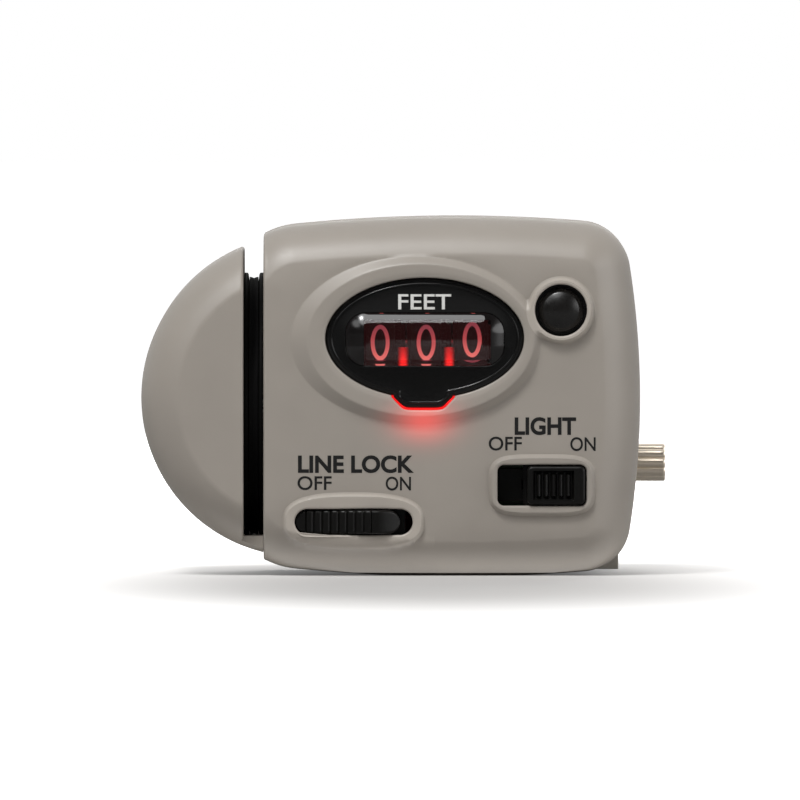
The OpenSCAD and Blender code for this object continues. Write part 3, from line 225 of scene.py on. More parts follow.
def fill(outer, holes, dots=np.zeros((0, 2))):
    """Flat Delaunay sheet inside the outer loop and outside the holes, through the dots as well."""
    loops = [outer, *holes]
    flat = np.concatenate([*loops, dots])
    start = np.cumsum([0] + [len(k) for k in loops])
    edges = np.concatenate([np.stack([s + np.arange(len(k)), s + np.roll(np.arange(len(k)), -1)], 1)
                            for k, s in zip(loops, start)])
    made, _, faces, source, _, _ = delaunay_2d_cdt(flat.tolist(), edges.tolist(), [], 0, 1e-7)
    source = np.array([s[0] if s else -1 for s in source])
    made = np.where(source[:, None] >= 0, flat[source], np.array(made))
    faces = np.array(faces)
    middle = made[faces].mean(1)
    kept = inside(middle, outer)
    for hole in holes:
        kept &= ~inside(middle, hole)
    return made, faces[kept]


def turned_out(points, faces):
    """The same faces, all turned to the outside of the shape."""
    mesh = bpy.data.meshes.new("turning")
    mesh.from_pydata(points.tolist(), [], faces.tolist())
    work = bmesh.new()
    work.from_mesh(mesh)
    bmesh.ops.recalc_face_normals(work, faces=work.faces[:])
    turned = np.array([[v.index for v in face.verts] for face in work.faces])
    work.free()
    bpy.data.meshes.remove(mesh)
    return points, turned


def walled(points, faces, wall):
    """A skin with a wall: a copy sunk along the mean normals, joined to it round the open edges."""
    corner = points[faces]
    flat = np.cross(corner[:, 1] - corner[:, 0], corner[:, 2] - corner[:, 0])
    normal = np.zeros_like(points)
    for k in range(3):
        np.add.at(normal, faces[:, k], flat)
    normal /= np.linalg.norm(normal, axis=1, keepdims=True) + 1e-12
    edges = np.concatenate([faces[:, [k, (k + 1) % 3]] for k in range(3)])
    _, first, count = np.unique(np.sort(edges, 1), axis=0, return_index=True, return_counts=True)
    (a, b), n = edges[first[count == 1]].T, len(points)
    band = np.concatenate([np.stack([b, a, a + n], 1), np.stack([b, a + n, b + n], 1)])
    return np.concatenate([points, points - wall * normal]), np.concatenate([faces, faces[:, ::-1] + n, band])


def solid(name, points, faces, material, body, slot, *stands_for, crease=38):
    """A smooth mesh, creased above an angle, from points in millimetres and triangles. It rides on
    a body and stands for CAD nodes."""
    mesh = bpy.data.meshes.new(name)
    mesh.from_pydata((points / 1000).tolist(), [], faces.tolist())
    mesh.validate()
    mesh.shade_smooth()
    mesh.set_sharp_from_angle(angle=math.radians(crease))
    mesh.materials.append(material)
    made = placed(name, mesh)
    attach(made, body)
    if stands_for:
        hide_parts(*stands_for)
    return made


def rounded(x, z, w, h, r, corner, side):
    """Rounded rectangle in the X-Z plane: four quarter arcs of radius r joined by straight sides."""
    a = np.radians(np.linspace(0, 90, corner))
    t = np.linspace(0, 1, side + 2)[1:-1, None]
    r = max(r, 0.0)
    arcs = [np.stack([sx * (w / 2 - r), sz * (h / 2 - r)]) + r * np.stack([np.cos(a + q), np.sin(a + q)], 1)
            for sx, sz, q in ((1, 1, 0), (-1, 1, np.pi / 2), (-1, -1, np.pi), (1, -1, 3 * np.pi / 2))]
    rows = [k for arc, after in zip(arcs, arcs[1:] + arcs[:1])
            for k in (arc, arc[-1] + t * (after[0] - arc[-1]))]
    return np.concatenate(rows) + (x, z)


def grown(x, z, w, h, r, corner, side):
    """A rounded rectangle as a function of how far it is grown."""
    return lambda g: rounded(x, z, w + 2 * g, h + 2 * g, r + g, corner, side)


def turns(n):
    """Angles of n even steps round a full turn."""
    return np.linspace(0, 2 * np.pi, n, endpoint=False)


def circle(x, z, r, n):
    """Round loop in the X-Z plane."""
    return np.stack([x + r * np.cos(turns(n)), z + r * np.sin(turns(n))], 1)


def outline(inset, cut):
    """Case outline at each inset, from the slot edge over the top, down the right and back under:
    shoulder arc, long top bow, corner arc, long side bow, and the same mirrored below."""
    s = np.asarray(inset, float)[:, None]
    shoulder_r, top_r, corner_r, side_r = 12, 240, 7.5, 128
    top_c, side_c, corner_c = (7.65, -186.3), (-92.6, mid_z), (26.4379, 45.4397)
    up, neck = np.pi / 2 + math.asin(24.25 / top_r), top_r - shoulder_r
    shoulder_c = (top_c[0] + neck * math.cos(up), top_c[1] + neck * math.sin(up))
    turn = math.atan2(corner_c[1] - top_c[1], corner_c[0] - top_c[0])
    side = math.atan2(corner_c[1] - side_c[1], corner_c[0] - side_c[0])
    begin = np.arccos((cut - shoulder_c[0]) / (shoulder_r - s))
    xs, zs = [], []
    for (cx, cz), r, a0, a1, n in ((shoulder_c, shoulder_r, begin, up, 16), (top_c, top_r, up, turn, 130),
                                   (corner_c, corner_r, turn, side, 30), (side_c, side_r, side, 0.0, 40)):
        a = a0 + (a1 - a0) * np.linspace(0, 1, n)[None, 1 if xs else 0:]
        xs.append(cx + (r - s) * np.cos(a))
        zs.append(cz + (r - s) * np.sin(a))
    x, z = np.concatenate(xs, 1), np.concatenate(zs, 1)
    return np.stack([np.hstack([x, x[:, -2::-1]]), np.hstack([z, 2 * mid_z - z[:, -2::-1]])], -1)


def rolled(radius, lean, steps):
    """Edge roll: inset radius(1-sin a) and depth radius(cos lean - cos a), with a from lean to 90 degrees."""
    a = np.radians(np.linspace(lean, 90, steps))
    return radius * (1 - np.sin(a)), radius * math.cos(math.radians(lean)) - radius * np.cos(a)


def at_y(flat, y):
    """Points in X and Z, put at a Y."""
    return np.insert(flat, 1, y, axis=-1)


def lip(rows, top, sign, radius, wall_y):
    """Mouth of a hole: a quarter round from the face into the hole, then a straight wall to wall_y.
    rows(g) is the hole's loop grown by g; top is the face's Y along it."""
    points = [at_y(rows(g), top + sign * h) for g, h in zip(*rolled(radius, 0, 6))]
    foot = at_y(rows(0), wall_y)
    return grid(np.array([*points, 0.5 * (points[-1] + foot), foot]), ring=True)


def eased(loop, side, radius, closed=False):
    """Quarter round along an edge that lies in a plane of constant X: points move sideways by
    radius sin a and inwards, across the edge, by radius(1-cos a)."""
    run = (np.roll(loop, -1, 0) - np.roll(loop, 1, 0)) if closed else np.gradient(loop, axis=0)
    out = np.stack([0 * run[:, 0], run[:, 2], -run[:, 1]], 1)
    out /= np.linalg.norm(out, axis=1, keepdims=True) + 1e-9
    out *= np.sign(((loop - loop.mean(0)) * out).sum())
    g, h = (k[:, None, None] for k in rolled(radius, 0, 6))
    return loop + (radius - g) * np.array([side, 0, 0]) - h * out, out


def half_case(inset, depth, holes, lips, cheek_holes, wall, dots=np.zeros((0, 2)),
              height=lambda p: np.zeros(len(p))):
    """Half of the case, with a wall: a band along the outline, the face filled between it and the
    holes, the holes' mouths, and the flat cheek along the slot with an eased edge."""
    band = at_y(outline(inset, slot_x + slot_edge), depth[:, None])
    band[..., 2] = np.maximum(band[..., 2], 0.0)
    base = band[0, 0, 1]
    ring = band[0][:, [0, 2]]
    side = ring[-1] + np.linspace(0, 1, 72)[1:-1, None] * (ring[0] - ring[-1])
    sheet, faces = fill(np.concatenate([ring, side]), holes, dots)
    sheet = at_y(sheet, base + height(sheet))
    band[..., 1] += height(band[..., [0, 2]].reshape(-1, 2)).reshape(band.shape[:2])
    ease, _ = eased(np.concatenate([band[::-1, 0], at_y(side[::-1], base), band[:, -1]]), -1, slot_edge)
    cheek, cheek_faces = fill(ease[-1][:, 1:], cheek_holes)
    ease[-1][:, 0] = slot_x
    shape = join(grid(band), (sheet, faces), *lips, grid(ease), (np.insert(cheek, 0, slot_x, 1), cheek_faces))
    points, faces = walled(*turned_out(*shape), wall)
    points[:, 0] = np.maximum(points[:, 0], slot_x)
    return points, faces


def oval_gap(p, x, z, rx, rz):
    """Distance to an ellipse, to first order: k(k-1) over the length of its gradient."""
    q = (p - (x, z)) / (rx, rz)
    k = np.linalg.norm(q, axis=1) + 1e-9
    return k * (k - 1) / (np.linalg.norm(q / (rx, rz), axis=1) + 1e-9)


def squared_gap(p, x, z, rx, rz, power):
    """Distance to a squared-off oval |x/rx|^n + |z/rz|^n = 1, to first order."""
    q = np.abs(p - (x, z)) / (rx, rz) + 1e-9
    f = (q ** power).sum(1) ** (1 / power)
    slope = np.linalg.norm(q ** (power - 1) * (f ** (1 - power))[:, None] / (rx, rz), axis=1)
    return (f - 1) / (slope + 1e-9)


collar, collar_top = (1.65, 35.425, 18.75, 12.6), (2.4, 35.475, 16.9, 11.35)
panel, button = (3.0, 35.725, 14.85, 9.0), (23.45, 39.925)
lock_slot, lock_rim = (-7.65, 8.15, 17.7, 3.9, 1.93), (-7.65, 8.15, 10.6, 4.35, 2.7)
lamp_slot, lamp_rim = (20.6, 13.65, 13.35, 6.15, 1.0), (20.6, 13.65, 7.95, 4.575, 4)
mouth = 0.3


def collar_gap(p, oval=collar, ring_r=5.05, width=0.8):
    """Distance to the foot of the collar or of the button ring it runs into: the smaller one, rounded
    off where they differ by less than width."""
    a, b = oval_gap(p, *oval), np.linalg.norm(p - button, axis=1) - ring_r
    near = np.maximum(width - np.abs(a - b), 0) / width
    return np.minimum(a, b) - near ** 2 * width / 4


def collar_top_gap(p):
    """The same distance to their flat tops."""
    return collar_gap(p, collar_top, 4.5, 1.6)


def rim_gap(p):
    """Distance to the nearer of the two switch rims."""
    return np.minimum(squared_gap(p, *lock_rim), squared_gap(p, *lamp_rim))


def face_height(p):
    """Face relief, towards the viewer. The collar slopes evenly from its foot to its flat top, worn
    round over the last tenth, and dips a little at the display; the rims rise in a quarter sine to an
    outer crest and fall evenly to their slots."""
    collar_h, worn, rim_h, rim_fall = 1.15, 0.1, 0.88, 0.07
    foot, top = -collar_gap(p), np.maximum(collar_top_gap(p), 0)
    share = np.clip(foot / np.maximum(foot + top, 1e-6), 0, 1)
    slope = (share - np.maximum(share - (1 - worn), 0) ** 2 / (2 * worn)) / (1 - worn / 2)
    dip = 0.3 * np.clip(1 - oval_gap(p, *panel) / 1.2, 0, 1) ** 2
    within = 0.05 - rim_gap(p)
    rim = rim_h * np.sin(np.pi / 2 * np.clip(within / 0.6, 0, 1)) - rim_fall * np.clip(within - 0.55, 0, 2)
    return -(collar_h * slope - dip * (slope > 0.5) + rim)


def run_of(*stops, steps=8):
    """Straight strokes through the stops, each cut into steps."""
    stops = np.array(stops)
    t = np.linspace(0, 1, steps + 1)[:-1, None]
    return np.concatenate([(stops[:-1, None] + t * (stops[1:] - stops[:-1])[:, None]).reshape(-1, 2),
                           stops[-1:]])


def panel_loop(grow, tab):
    """Display outline: an ellipse grown by grow, joined to a tapered tab grown by tab, with the
    corners worn round by averaging neighbours."""
    x, z, rx, rz = panel
    x0, x1, top, low, taper = -1.65 - tab, 7.2 + tab, z - 8.85, z - 10.45 - tab, 1.65
    right = -math.acos((x1 - x) / (rx + grow))
    left = 2 * np.pi - math.acos((x0 - x) / (rx + grow))
    a = np.linspace(right, left, 190)
    oval = np.stack([x + (rx + grow) * np.cos(a), z + (rz + grow) * np.sin(a)], 1)
    tabs = run_of(oval[-1], (x0, top), (x0 + taper + tab / 2, low), (x1 - taper - tab / 2, low),
                  (x1, top), oval[0], steps=9)
    loop = np.concatenate([oval, tabs[1:-1]])
    for _ in range(3):
        loop = 0.5 * loop + 0.25 * (np.roll(loop, 1, 0) + np.roll(loop, -1, 0))
    return loop


def dotted(box, step, keep):
    """Points of a triangular lattice in a box (x0, x1, z0, z1) where keep is true."""
    x, z = np.meshgrid(np.arange(box[0], box[1], step), np.arange(box[2], box[3], step * 0.866))
    x = x + (np.arange(x.shape[0]) % 2)[:, None] * step / 2
    p = np.stack([x.ravel(), z.ravel()], 1)
    return p[keep(p)]


front_mouths = [lambda g: panel_loop(0.08 + g, 0.34 + g), lambda g: circle(*button, 3.9 + g, 96),
                grown(*lock_slot, 14, 40), grown(*lamp_slot, 10, 30)]
front_holes = [m(mouth) for m in front_mouths]
inset, depth = rolled(*front_roll, 20)
clearance, parting_in, parting_off = 0.014, [0, 0, 0, 0.05, 0.16], np.array([0.22, 0.1, 0.03])
inset = clearance + np.concatenate([inset, parting_in])
depth = np.concatenate([front_y + depth, [-16, -9], part_y - parting_off])
edge_loop = outline(inset[:1], slot_x + slot_edge)[0]


def clear_of(p, others, by):
    """True where a point lies further than by from all others; done in batches."""
    return np.concatenate([np.linalg.norm(k[:, None] - others, axis=2).min(1) > by
                           for k in np.array_split(p, 40)])


def on_relief(p):
    """True on the shoulders and bevels, but not right beside the loops."""
    from_collar, from_panel = collar_gap(p), oval_gap(p, *panel)
    kept = (from_collar < 0.7) & (from_panel > 0.2) & ((from_collar > -2.6) | (from_panel < 2.0))
    kept |= np.abs(rim_gap(p) + 0.8) < 1.5
    kept &= inside(p, edge_loop)
    for hole in (*front_holes, edge_loop):
        kept[kept] = clear_of(p[kept], hole, 0.17)
    for hole in front_holes:
        kept[kept] = ~inside(p[kept], hole)
    return kept


def level_line(gap, level, box):
    """Points where a distance takes a level, found on a lattice by steps along its slope."""
    p = dotted(box, 0.22, lambda q: np.abs(gap(q) - level) < 0.3)
    x, z = (1e-3, 0), (0, 1e-3)
    for _ in range(6):
        slope = np.stack([gap(p + x) - gap(p - x), gap(p + z) - gap(p - z)], 1) / 2e-3
        p = p - slope * ((gap(p) - level) / ((slope ** 2).sum(1) + 1e-9))[:, None]
    _, first = np.unique(np.round(p / 0.1), axis=0, return_index=True)
    return p[np.sort(first)]


collar_box, rim_box = (-18, 30, 21, 50), (-21, 30, 2, 20)
lines = np.concatenate([level_line(gap, level, box) for gap, box, levels in (
    (collar_gap, collar_box, (0.05, -0.05)), (collar_top_gap, collar_box, (0.12, -0.02)),
    (rim_gap, rim_box, (0.1, 0.0, -0.5, -0.6))) for level in levels])
lines = lines[on_relief(lines)]
fine_dots = dotted((-21, 37, 0, 54), 0.28, on_relief)
fine_dots = np.concatenate([fine_dots[clear_of(fine_dots, lines, 0.1)], lines])
front_lips = [lip(m, front_y + face_height(m(mouth)), 1, mouth, front_y + 2.0) for m in front_mouths]
axle_hole = circle(-6.787, 25.175, 1.5, 32)
pad_window = rounded(-12.84, lock_slot[1], 5.7, 4.6, 0.3, 3, 3)
front = half_case(inset, depth, front_holes, front_lips, [axle_hole, pad_window], 0.28, fine_dots,
                  face_height)


def spot(tree):
    """X, Y and Z of the point that is shaded, in metres."""
    return add(tree, "SeparateXYZ", {0: add(tree, "TexCoord", {}, "Object")}).node.outputs


def away(value, centre, scale):
    """Square of the distance of a node output from a centre, in units of scale."""
    off = calc("DIVIDE", calc("SUBTRACT", value, centre), scale)
    return calc("MULTIPLY", off, off)


housing_plastic, lit_plastic = (mould(name, (0.300, 0.272, 0.240), 0.42, relief=20, drift=0.03)
                                for name in ("housing_plastic", "housing_front_plastic"))
tree = lit_plastic.node_tree
place = spot(tree)
# Painted glow: lamp light that bleeds through the plastic round the tab is painted as red emission in a soft
# bell, wide along X and short along Z
bell = calc("ADD", away(place["X"], 0.0029, 0.0042), away(place["Z"], 0.0234, 0.0029))
glow = calc("EXPONENT", calc("MULTIPLY", bell, -1.0))
ahead = calc("LESS_THAN", place["Y"], -0.0270)
# Painted light: the lock's rim and the button's ring are painted paler where they stand up from the face
rolled_off = calc("MULTIPLY", away(calc("MINIMUM", place["Z"], 0.0085), 0.0085, 0.0032), 0.0004)
raised = mapped(calc("SUBTRACT", rolled_off, place["Y"]), 0.0002 - front_y / 1000, 0.0007 - front_y / 1000)
from_button = calc("ADD", *[away(place[k], c / 1000, 0.0052) for k, c in zip("XZ", button)])
by_lock = calc("MULTIPLY", calc("LESS_THAN", place["X"], 0.0045), calc("LESS_THAN", place["Z"], 0.0135))
painted_light_on_rims = calc("MULTIPLY", raised, calc("MAXIMUM", calc("LESS_THAN", from_button, 1.0), by_lock))
paler = mixed(painted_light_on_rims, tree.nodes["Color Ramp"].outputs[0], (1.27, 1.27, 1.27, 1), blend_type="MULTIPLY")
surface(tree, Base_Color=paler, Emission_Color=(1.0, 0.012, 0.01, 1),
        Emission_Strength=calc("MULTIPLY", calc("MULTIPLY", glow, ahead), 0.64))
solid("case_front", *front, lit_plastic, "housing", "housing", "front_housing")

# -------- rear cover
# The back half of the case, moulded in the same plastic and held by four
# screws in deep round wells. It meets the front half at a fine parting line,
# over a tongue inside, and has a square opening for the battery door.
screw_wells = ((-12.75, 49.125), (28.913, 47.914), (28.913, 5.536), (5.9, 3.65))
rear_mouths = [grown(17.9, 38.625, 17.7, 12.1, 0.35, 6, 24)]
rear_mouths += [lambda g, w=w: circle(*w, 1.7 + g, 40) for w in screw_wells]
rear_mouth, deep = 0.25, (2.0, 4.0, 4.0, 4.0, 4.0)
rear_holes = [m(rear_mouth) for m in rear_mouths]
rear_lips = [lip(m, back_y, -1, rear_mouth, back_y - d) for m, d in zip(rear_mouths, deep)]
inset, depth = rolled(*back_roll, 14)
inset = clearance + np.concatenate([inset, parting_in])
depth = np.concatenate([back_y - depth, [8, 3], part_y + parting_off])
tongue_notch = rounded(3.21, 6.3, 9.6, 3.1, 0.2, 3, 3)
rear = half_case(inset, depth, rear_holes, rear_lips, [tongue_notch], 0.22)
lap = at_y(outline([0.5, 0.5, 0.8, 0.8], slot_x + 1.2), part_y + np.array([-1.1, 1.1, 1.1, -1.1])[:, None])
lap[..., 2] = np.maximum(lap[..., 2], 0.5)
points, faces = grid(lap, loop=True)
n = lap.shape[1]
ends = n * np.array([[0, 1, 2], [0, 2, 3], [1, 3, 2], [1, 4, 3]]) - [[0], [0], [1], [1]]
lap = turned_out(points, np.concatenate([faces, ends]))
solid("case_back", *join(rear, lap), housing_plastic, "housing", "housing", "rear_cover")

# -------- line guard
# The round cheek outside the wheel: a turned cap with the same rolled edges as
# the case, cut flat along the slot, hollow, and joined to the case under the
# wheel by a thin saddle and a screwed tongue.
guard_x, guard_r = -15.6, 23.992
guard_cut = guard_x - slot_left + slot_edge
# Radius and Y of the cap: the front face, its roll, the rim, the rear roll and the back face
front_in, front_down = rolled(*front_roll, 22)
back_in, back_up = rolled(*back_roll, 14)
face = np.linspace(guard_cut, guard_r - front_in[0], 26)[:-1]
back = np.linspace(guard_r - back_in[0], guard_cut, 22)[1:]
r = np.concatenate([face, guard_r - front_in, [guard_r] * 4, guard_r - back_in[::-1], back])
y = np.concatenate([0 * face + front_y, front_y + front_down,
                    np.linspace(front_y + front_down[-1], back_y - back_up[-1], 6)[1:-1],
                    back_y - back_up[::-1], 0 * back + back_y])
reach = np.arccos(np.clip(guard_cut / r, -1, 1))[:, None]
swing = reach * np.sin(np.pi / 2 * np.linspace(-1, 1, 121))[None]
cap = np.stack([guard_x - r[:, None] * np.cos(swing), 0 * swing + y[:, None],
                mid_z + r[:, None] * np.sin(swing)], -1)
edge = np.concatenate([cap[:, -1], cap[-2:0:-1, 0]])
ease, out = eased(edge, 1, slot_edge, closed=True)
land = ease[-1] - 1.6 * out
guard = join(grid(cap), grid(ease, ring=True),
             grid(np.array([ease[-1], land, land - (2.4, 0, 0)]), ring=True))
guard = walled(*turned_out(*guard), 0.25)


def slab(x, y, low, high):
    """Closed block over a grid in X and Y between two heights, its sides closed all round."""
    bottom, top = np.stack([x, y, low], -1), np.stack([x, y, high], -1)
    walls = [grid(np.stack([bottom[k], top[k]])) for k in
             (np.s_[0, :], np.s_[-1, :], np.s_[:, 0], np.s_[:, -1])]
    return join(grid(top), grid(bottom), *walls)


def block(x, y, low, high):
    """Closed box over a run of X and a run of Y, between two heights."""
    x, y = np.meshgrid(x, y, indexing="ij")
    return slab(x, y, 0 * x + low, 0 * x + high)


wheel_y, wheel_z, clear_r = -6.7874, 25.175, 20.25
x, y = np.meshgrid(np.linspace(slot_left - 0.4, slot_x - 0.06, 8), np.linspace(-23.787, 10.213, 61),
                   indexing="ij")
ahead = np.clip(-20.3 - y, 0, None)
rim = np.where(ahead > 0, 15.5 + np.sqrt(front_roll[0] ** 2 - ahead ** 2), 24.0)
under = mid_z - np.sqrt(rim ** 2 - (x - guard_x) ** 2) + 0.02
over = np.minimum(5.95, wheel_z - np.sqrt(clear_r ** 2 - np.clip(np.abs(y - wheel_y), 0, 20.2) ** 2))
saddle = turned_out(*slab(x, y, under, np.maximum(over, under + 0.05)))
tongue = turned_out(*block(np.linspace(-22.0, -15.7, 4), np.linspace(-1.487, 7.913, 4), 4.753, 7.753))
solid("guard_shell", *join(guard, saddle, tongue), housing_plastic, "housing", "housing", "line_guard")
# Geometry steps for a CAD node: faces that meet at less than 32 degrees shade as one
smooth = bpy.data.node_groups.new("merged_smooth", "GeometryNodeTree")
for way in ("INPUT", "OUTPUT"):
    smooth.interface.new_socket("Geometry", in_out=way, socket_type="NodeSocketGeometry")
angle = add(smooth, "GeometryNodeInputMeshEdgeAngle", {}, "Unsigned Angle")
less = add(smooth, "FunctionNodeCompare", {0: angle, 1: math.radians(32)}, operation="LESS_THAN")
shape = add(smooth, "GeometryNodeSetShadeSmooth", {"Geometry": add(smooth, "NodeGroupInput", {})})
shape = add(smooth, "GeometryNodeSetShadeSmooth", {"Geometry": shape, "Shade Smooth": less},
            domain="EDGE")
add(smooth, "NodeGroupOutput", {0: shape})


def dress(material, width, *names):
    """Gives CAD nodes a finish: merged triangles, flat faces made whole, sharp edges broken by
    width in millimetres, and smooth shading."""
    for name in names:
        node = nodes[name]
        for place in node.material_slots:
            place.material = material
        node.modifiers.new("merged", "WELD").merge_threshold = 1e-6
        if width:
            whole = node.modifiers.new("whole_faces", "DECIMATE")
            whole.decimate_type, whole.angle_limit = "DISSOLVE", math.radians(0.6)
            broken = node.modifiers.new("broken_edges", "BEVEL")
            broken.width, broken.segments, broken.limit_method = width / 1000, 3, "ANGLE"
            broken.angle_limit, broken.use_clamp_overlap = math.radians(40), True
        node.modifiers.new("smooth", "NODES").node_group = smooth
        if width:
            even = node.modifiers.new("even_faces", "WEIGHTED_NORMAL")
            even.keep_sharp, even.weight = True, 100


inner_plastic = mould("inner_plastic", (0.20, 0.19, 0.175), 0.5)
dress(inner_plastic, 0.12, "guard_plate")

# -------- measuring wheel and gear train
# A black moulded wheel with a rubber tyre between two flanges turns on a steel
# axle in two bushes, and drives the number wheels through ivory acetal gears
# behind the cheek. Only the rim of the wheel shows, in the slot.
wheel_black = mould("wheel_black", (0.004, 0.004, 0.004), 0.5, relief=10, spec=0.03)
rubber = mould("tyre_rubber", (0.004, 0.004, 0.004), 0.6, grain=1500, relief=60, spec=0.03)
steel = mould("turned_steel", (0.56, 0.56, 0.57), 0.28, grain=3200, relief=6, metal=1.0)
bush_brass = mould("bush_brass", (0.66, 0.48, 0.24), 0.3, grain=3200, relief=6, metal=1.0)
acetal = mould("gear_acetal", (0.62, 0.58, 0.48), 0.45)
dress(wheel_black, 0, "measuring_wheel")
dress(rubber, 0, "wheel_tyre")
# A fine bead round each flange runs close to the cheeks and keeps the line out of the gaps
wheel_x, wheel_half = -22.7, 1.2
bead_r, bead_x = np.array([(19.7, -0.35), (19.98, -0.34), (20.08, -0.24), (20.09, 0.16), (20.02, 0.23),
                           (19.93, 0.23), (19.87, 0.16), (19.87, -0.12), (19.7, -0.2)]).T
a = turns(180)[:, None]
beads = [turned_out(*grid(np.stack([
    wheel_x + side * (wheel_half + bead_x) + 0 * a, wheel_y + bead_r * np.cos(a),
    wheel_z + bead_r * np.sin(a)], -1), ring=True, loop=True)) for side in (-1, 1)]
solid("wheel_beads", *join(*beads), wheel_black, "wheel", "wheel_black", crease=50)
dress(steel, 0.06, "wheel_axle", "layshaft", "counter_shaft", "transfer_shaft")
dress(bush_brass, 0.06, "inner_bush", "outer_bush")
dress(acetal, 0, "drive_pinion", "reduction_gear", "reduction_pinion", "counter_gear", "tens_pinion",
      "hundreds_pinion")

# -------- number wheels
# Three black drums on one shaft, each with ten pale figures in thin even
# strokes. Lamp light from below is painted on as red emission: a glow on the
# figures, strongest at the foot of each figure, and a faint glow on the drums.
# Painted glow: the drums' faint red emission stands in for the lamp's red light on them
drum_black = mould("drum_black", (0.006, 0.005, 0.005), 0.5, grain=1800, spec=0.06,
                   Emission_Color=(1.0, 0.10, 0.11, 1), Emission_Strength=0.013)
dress(drum_black, 0.08, "ones_wheel", "tens_wheel", "hundreds_wheel")
drum_y, drum_z, drum_r = -14.587, 35.275, 10.0
figure_w, figure_h, stroke = 2.26, 4.45, 0.58


def bow(x, z, rx, rz, a0, a1, n=40):
    """Elliptical arc from angle a0 to a1 in degrees."""
    a = np.radians(np.linspace(a0, a1, n))
    return np.stack([x + rx * np.cos(a), z + rz * np.sin(a)], 1)


six = [bow(0, -0.2, 0.5, 0.3, 0, 360), bow(0.42, -0.18, 0.92, 0.68, 180, 108)]
figures = [[bow(0, 0, 0.5, 0.5, 0, 360, 64)],
           [run_of((-0.2, 0.32), (0.08, 0.5)), run_of((0.08, 0.5), (0.08, -0.5))],
           [bow(0, 0.22, 0.48, 0.28, 170, -38), run_of((0.378, 0.048), (-0.5, -0.5), (0.5, -0.5))],
           [bow(-0.02, 0.25, 0.46, 0.25, 150, -85), bow(0, -0.24, 0.5, 0.26, 85, -150)],
           [run_of((0.2, -0.5), (0.2, 0.5), (-0.5, -0.2), (0.5, -0.2))],
           [run_of((0.42, 0.5), (-0.38, 0.5), (-0.43, 0.05)), bow(0, -0.17, 0.5, 0.33, 138, -150)],
           six,
           [run_of((-0.5, 0.5), (0.5, 0.5), (-0.12, -0.5))],
           [bow(0, 0.25, 0.42, 0.25, 0, 360), bow(0, -0.24, 0.5, 0.26, 0, 360)],
           [-k for k in six]]


def figure_strip(path, at, x):
    """One stroke on a drum: a flat bar of even width along the path, bent round the drum at the
    angle of its figure. Returns points, faces and the share of the figure's height."""
    path = path * (figure_w, figure_h)
    ring = np.allclose(path[0], path[-1])
    path = path[:-1] if ring else path
    run = (np.roll(path, -1, 0) - np.roll(path, 1, 0)) if ring else np.gradient(path, axis=0)
    side = np.stack([-run[:, 1], run[:, 0]], 1) / np.linalg.norm(run, axis=1, keepdims=True) * stroke / 2
    rows = []
    for offset, height in ((side, -0.02), (side, 0.05), (-side, 0.05), (-side, -0.02)):
        p, r = path + offset, drum_r + height
        a = p[:, 1] / drum_r + at
        rows.append(np.stack([x + p[:, 0], drum_y - r * np.cos(a), drum_z + r * np.sin(a)], 1))
    points, faces = grid(np.stack(rows, 1), ring=True, loop=ring)
    if not ring:
        n = 4 * len(path)
        faces = np.concatenate([faces, [[0, 2, 1], [0, 3, 2], [n - 4, n - 3, n - 2], [n - 4, n - 2, n - 1]]])
    return points, faces, np.repeat(path[:, 1] / figure_h + 0.5, 4)


# Painted glow: the figures' red emission, brightest at each figure's foot by its share of height
figure_ink = mould("figure_red", (0.24, 0.03, 0.03), 0.5, spec=0.1, Emission_Strength=0.75)
tree = figure_ink.node_tree
warm = add(tree, "ValToRGB", {0: add(tree, "Attribute", {}, "Fac", attribute_name="rise")})
reds = warm.node.color_ramp.elements
reds[0].color, reds[1].color = (1.00, 0.20, 0.18, 1), (0.30, 0.055, 0.075, 1)
reds.new(0.45).color = (0.62, 0.085, 0.090, 1)
surface(tree, Emission_Color=warm)
for body, x, lag in (("hundreds", -3.675, -1.4), ("tens", 3.225, -1.4), ("ones", 10.125, 1.0)):
    strips = [figure_strip(path, math.radians(36 * n + lag), x)
              for n, paths in enumerate(figures) for path in paths]
    points, faces = turned_out(*gathered([s[:2] for s in strips]))
    printed = solid("figures_" + body, points, faces, figure_ink, body, "digit_red", crease=50)
    rise = printed.data.attributes.new("rise", "FLOAT", "POINT")
    rise.data.foreach_set("value", np.concatenate([s[2] for s in strips]))

# -------- frame, plates and reset works
# Inside pieces that carry the register: dark moulded frames and plates, the
# sprung reset comb, and the holder of the cells.
frame_dark = mould("frame_plastic", (0.008, 0.008, 0.008), 0.5, spec=0.15)
dress(frame_dark, 0.1, "counter_frame", "gear_plate", "reset_comb", "battery_holder")

# -------- light guide
# Clear red acrylic behind the display: two prongs stand between the number
# wheels and a thin rim shows round the tab. Its lamp lights it from below, painted as a red glow that fades
# upwards.
guide_red = mould("guide_acrylic", (0.15, 0.003, 0.003), 0.25, relief=8, spec=0.15)
place = spot(guide_red.node_tree)
fade = mapped(place["Z"], 0.0312, 0.0350, 1.0, 0.10)
# Painted glow: each prong is brightest along its middle; the rim round the tab, further forward, is even
off = calc("MINIMUM", *[away(place["X"], c, 0.0007) for c in (-0.000225, 0.006675)])
middle = calc("MULTIPLY", calc("SUBTRACT", 1.0, calc("MINIMUM", off, 0.9)), 1.75)
rim = calc("LESS_THAN", place["Y"], -0.0262)
surface(guide_red.node_tree, Emission_Color=(0.85, 0.012, 0.012, 1),
        Emission_Strength=calc("MULTIPLY", fade, calc("MAXIMUM", middle, rim)))
dress(guide_red, 0, "light_guide")

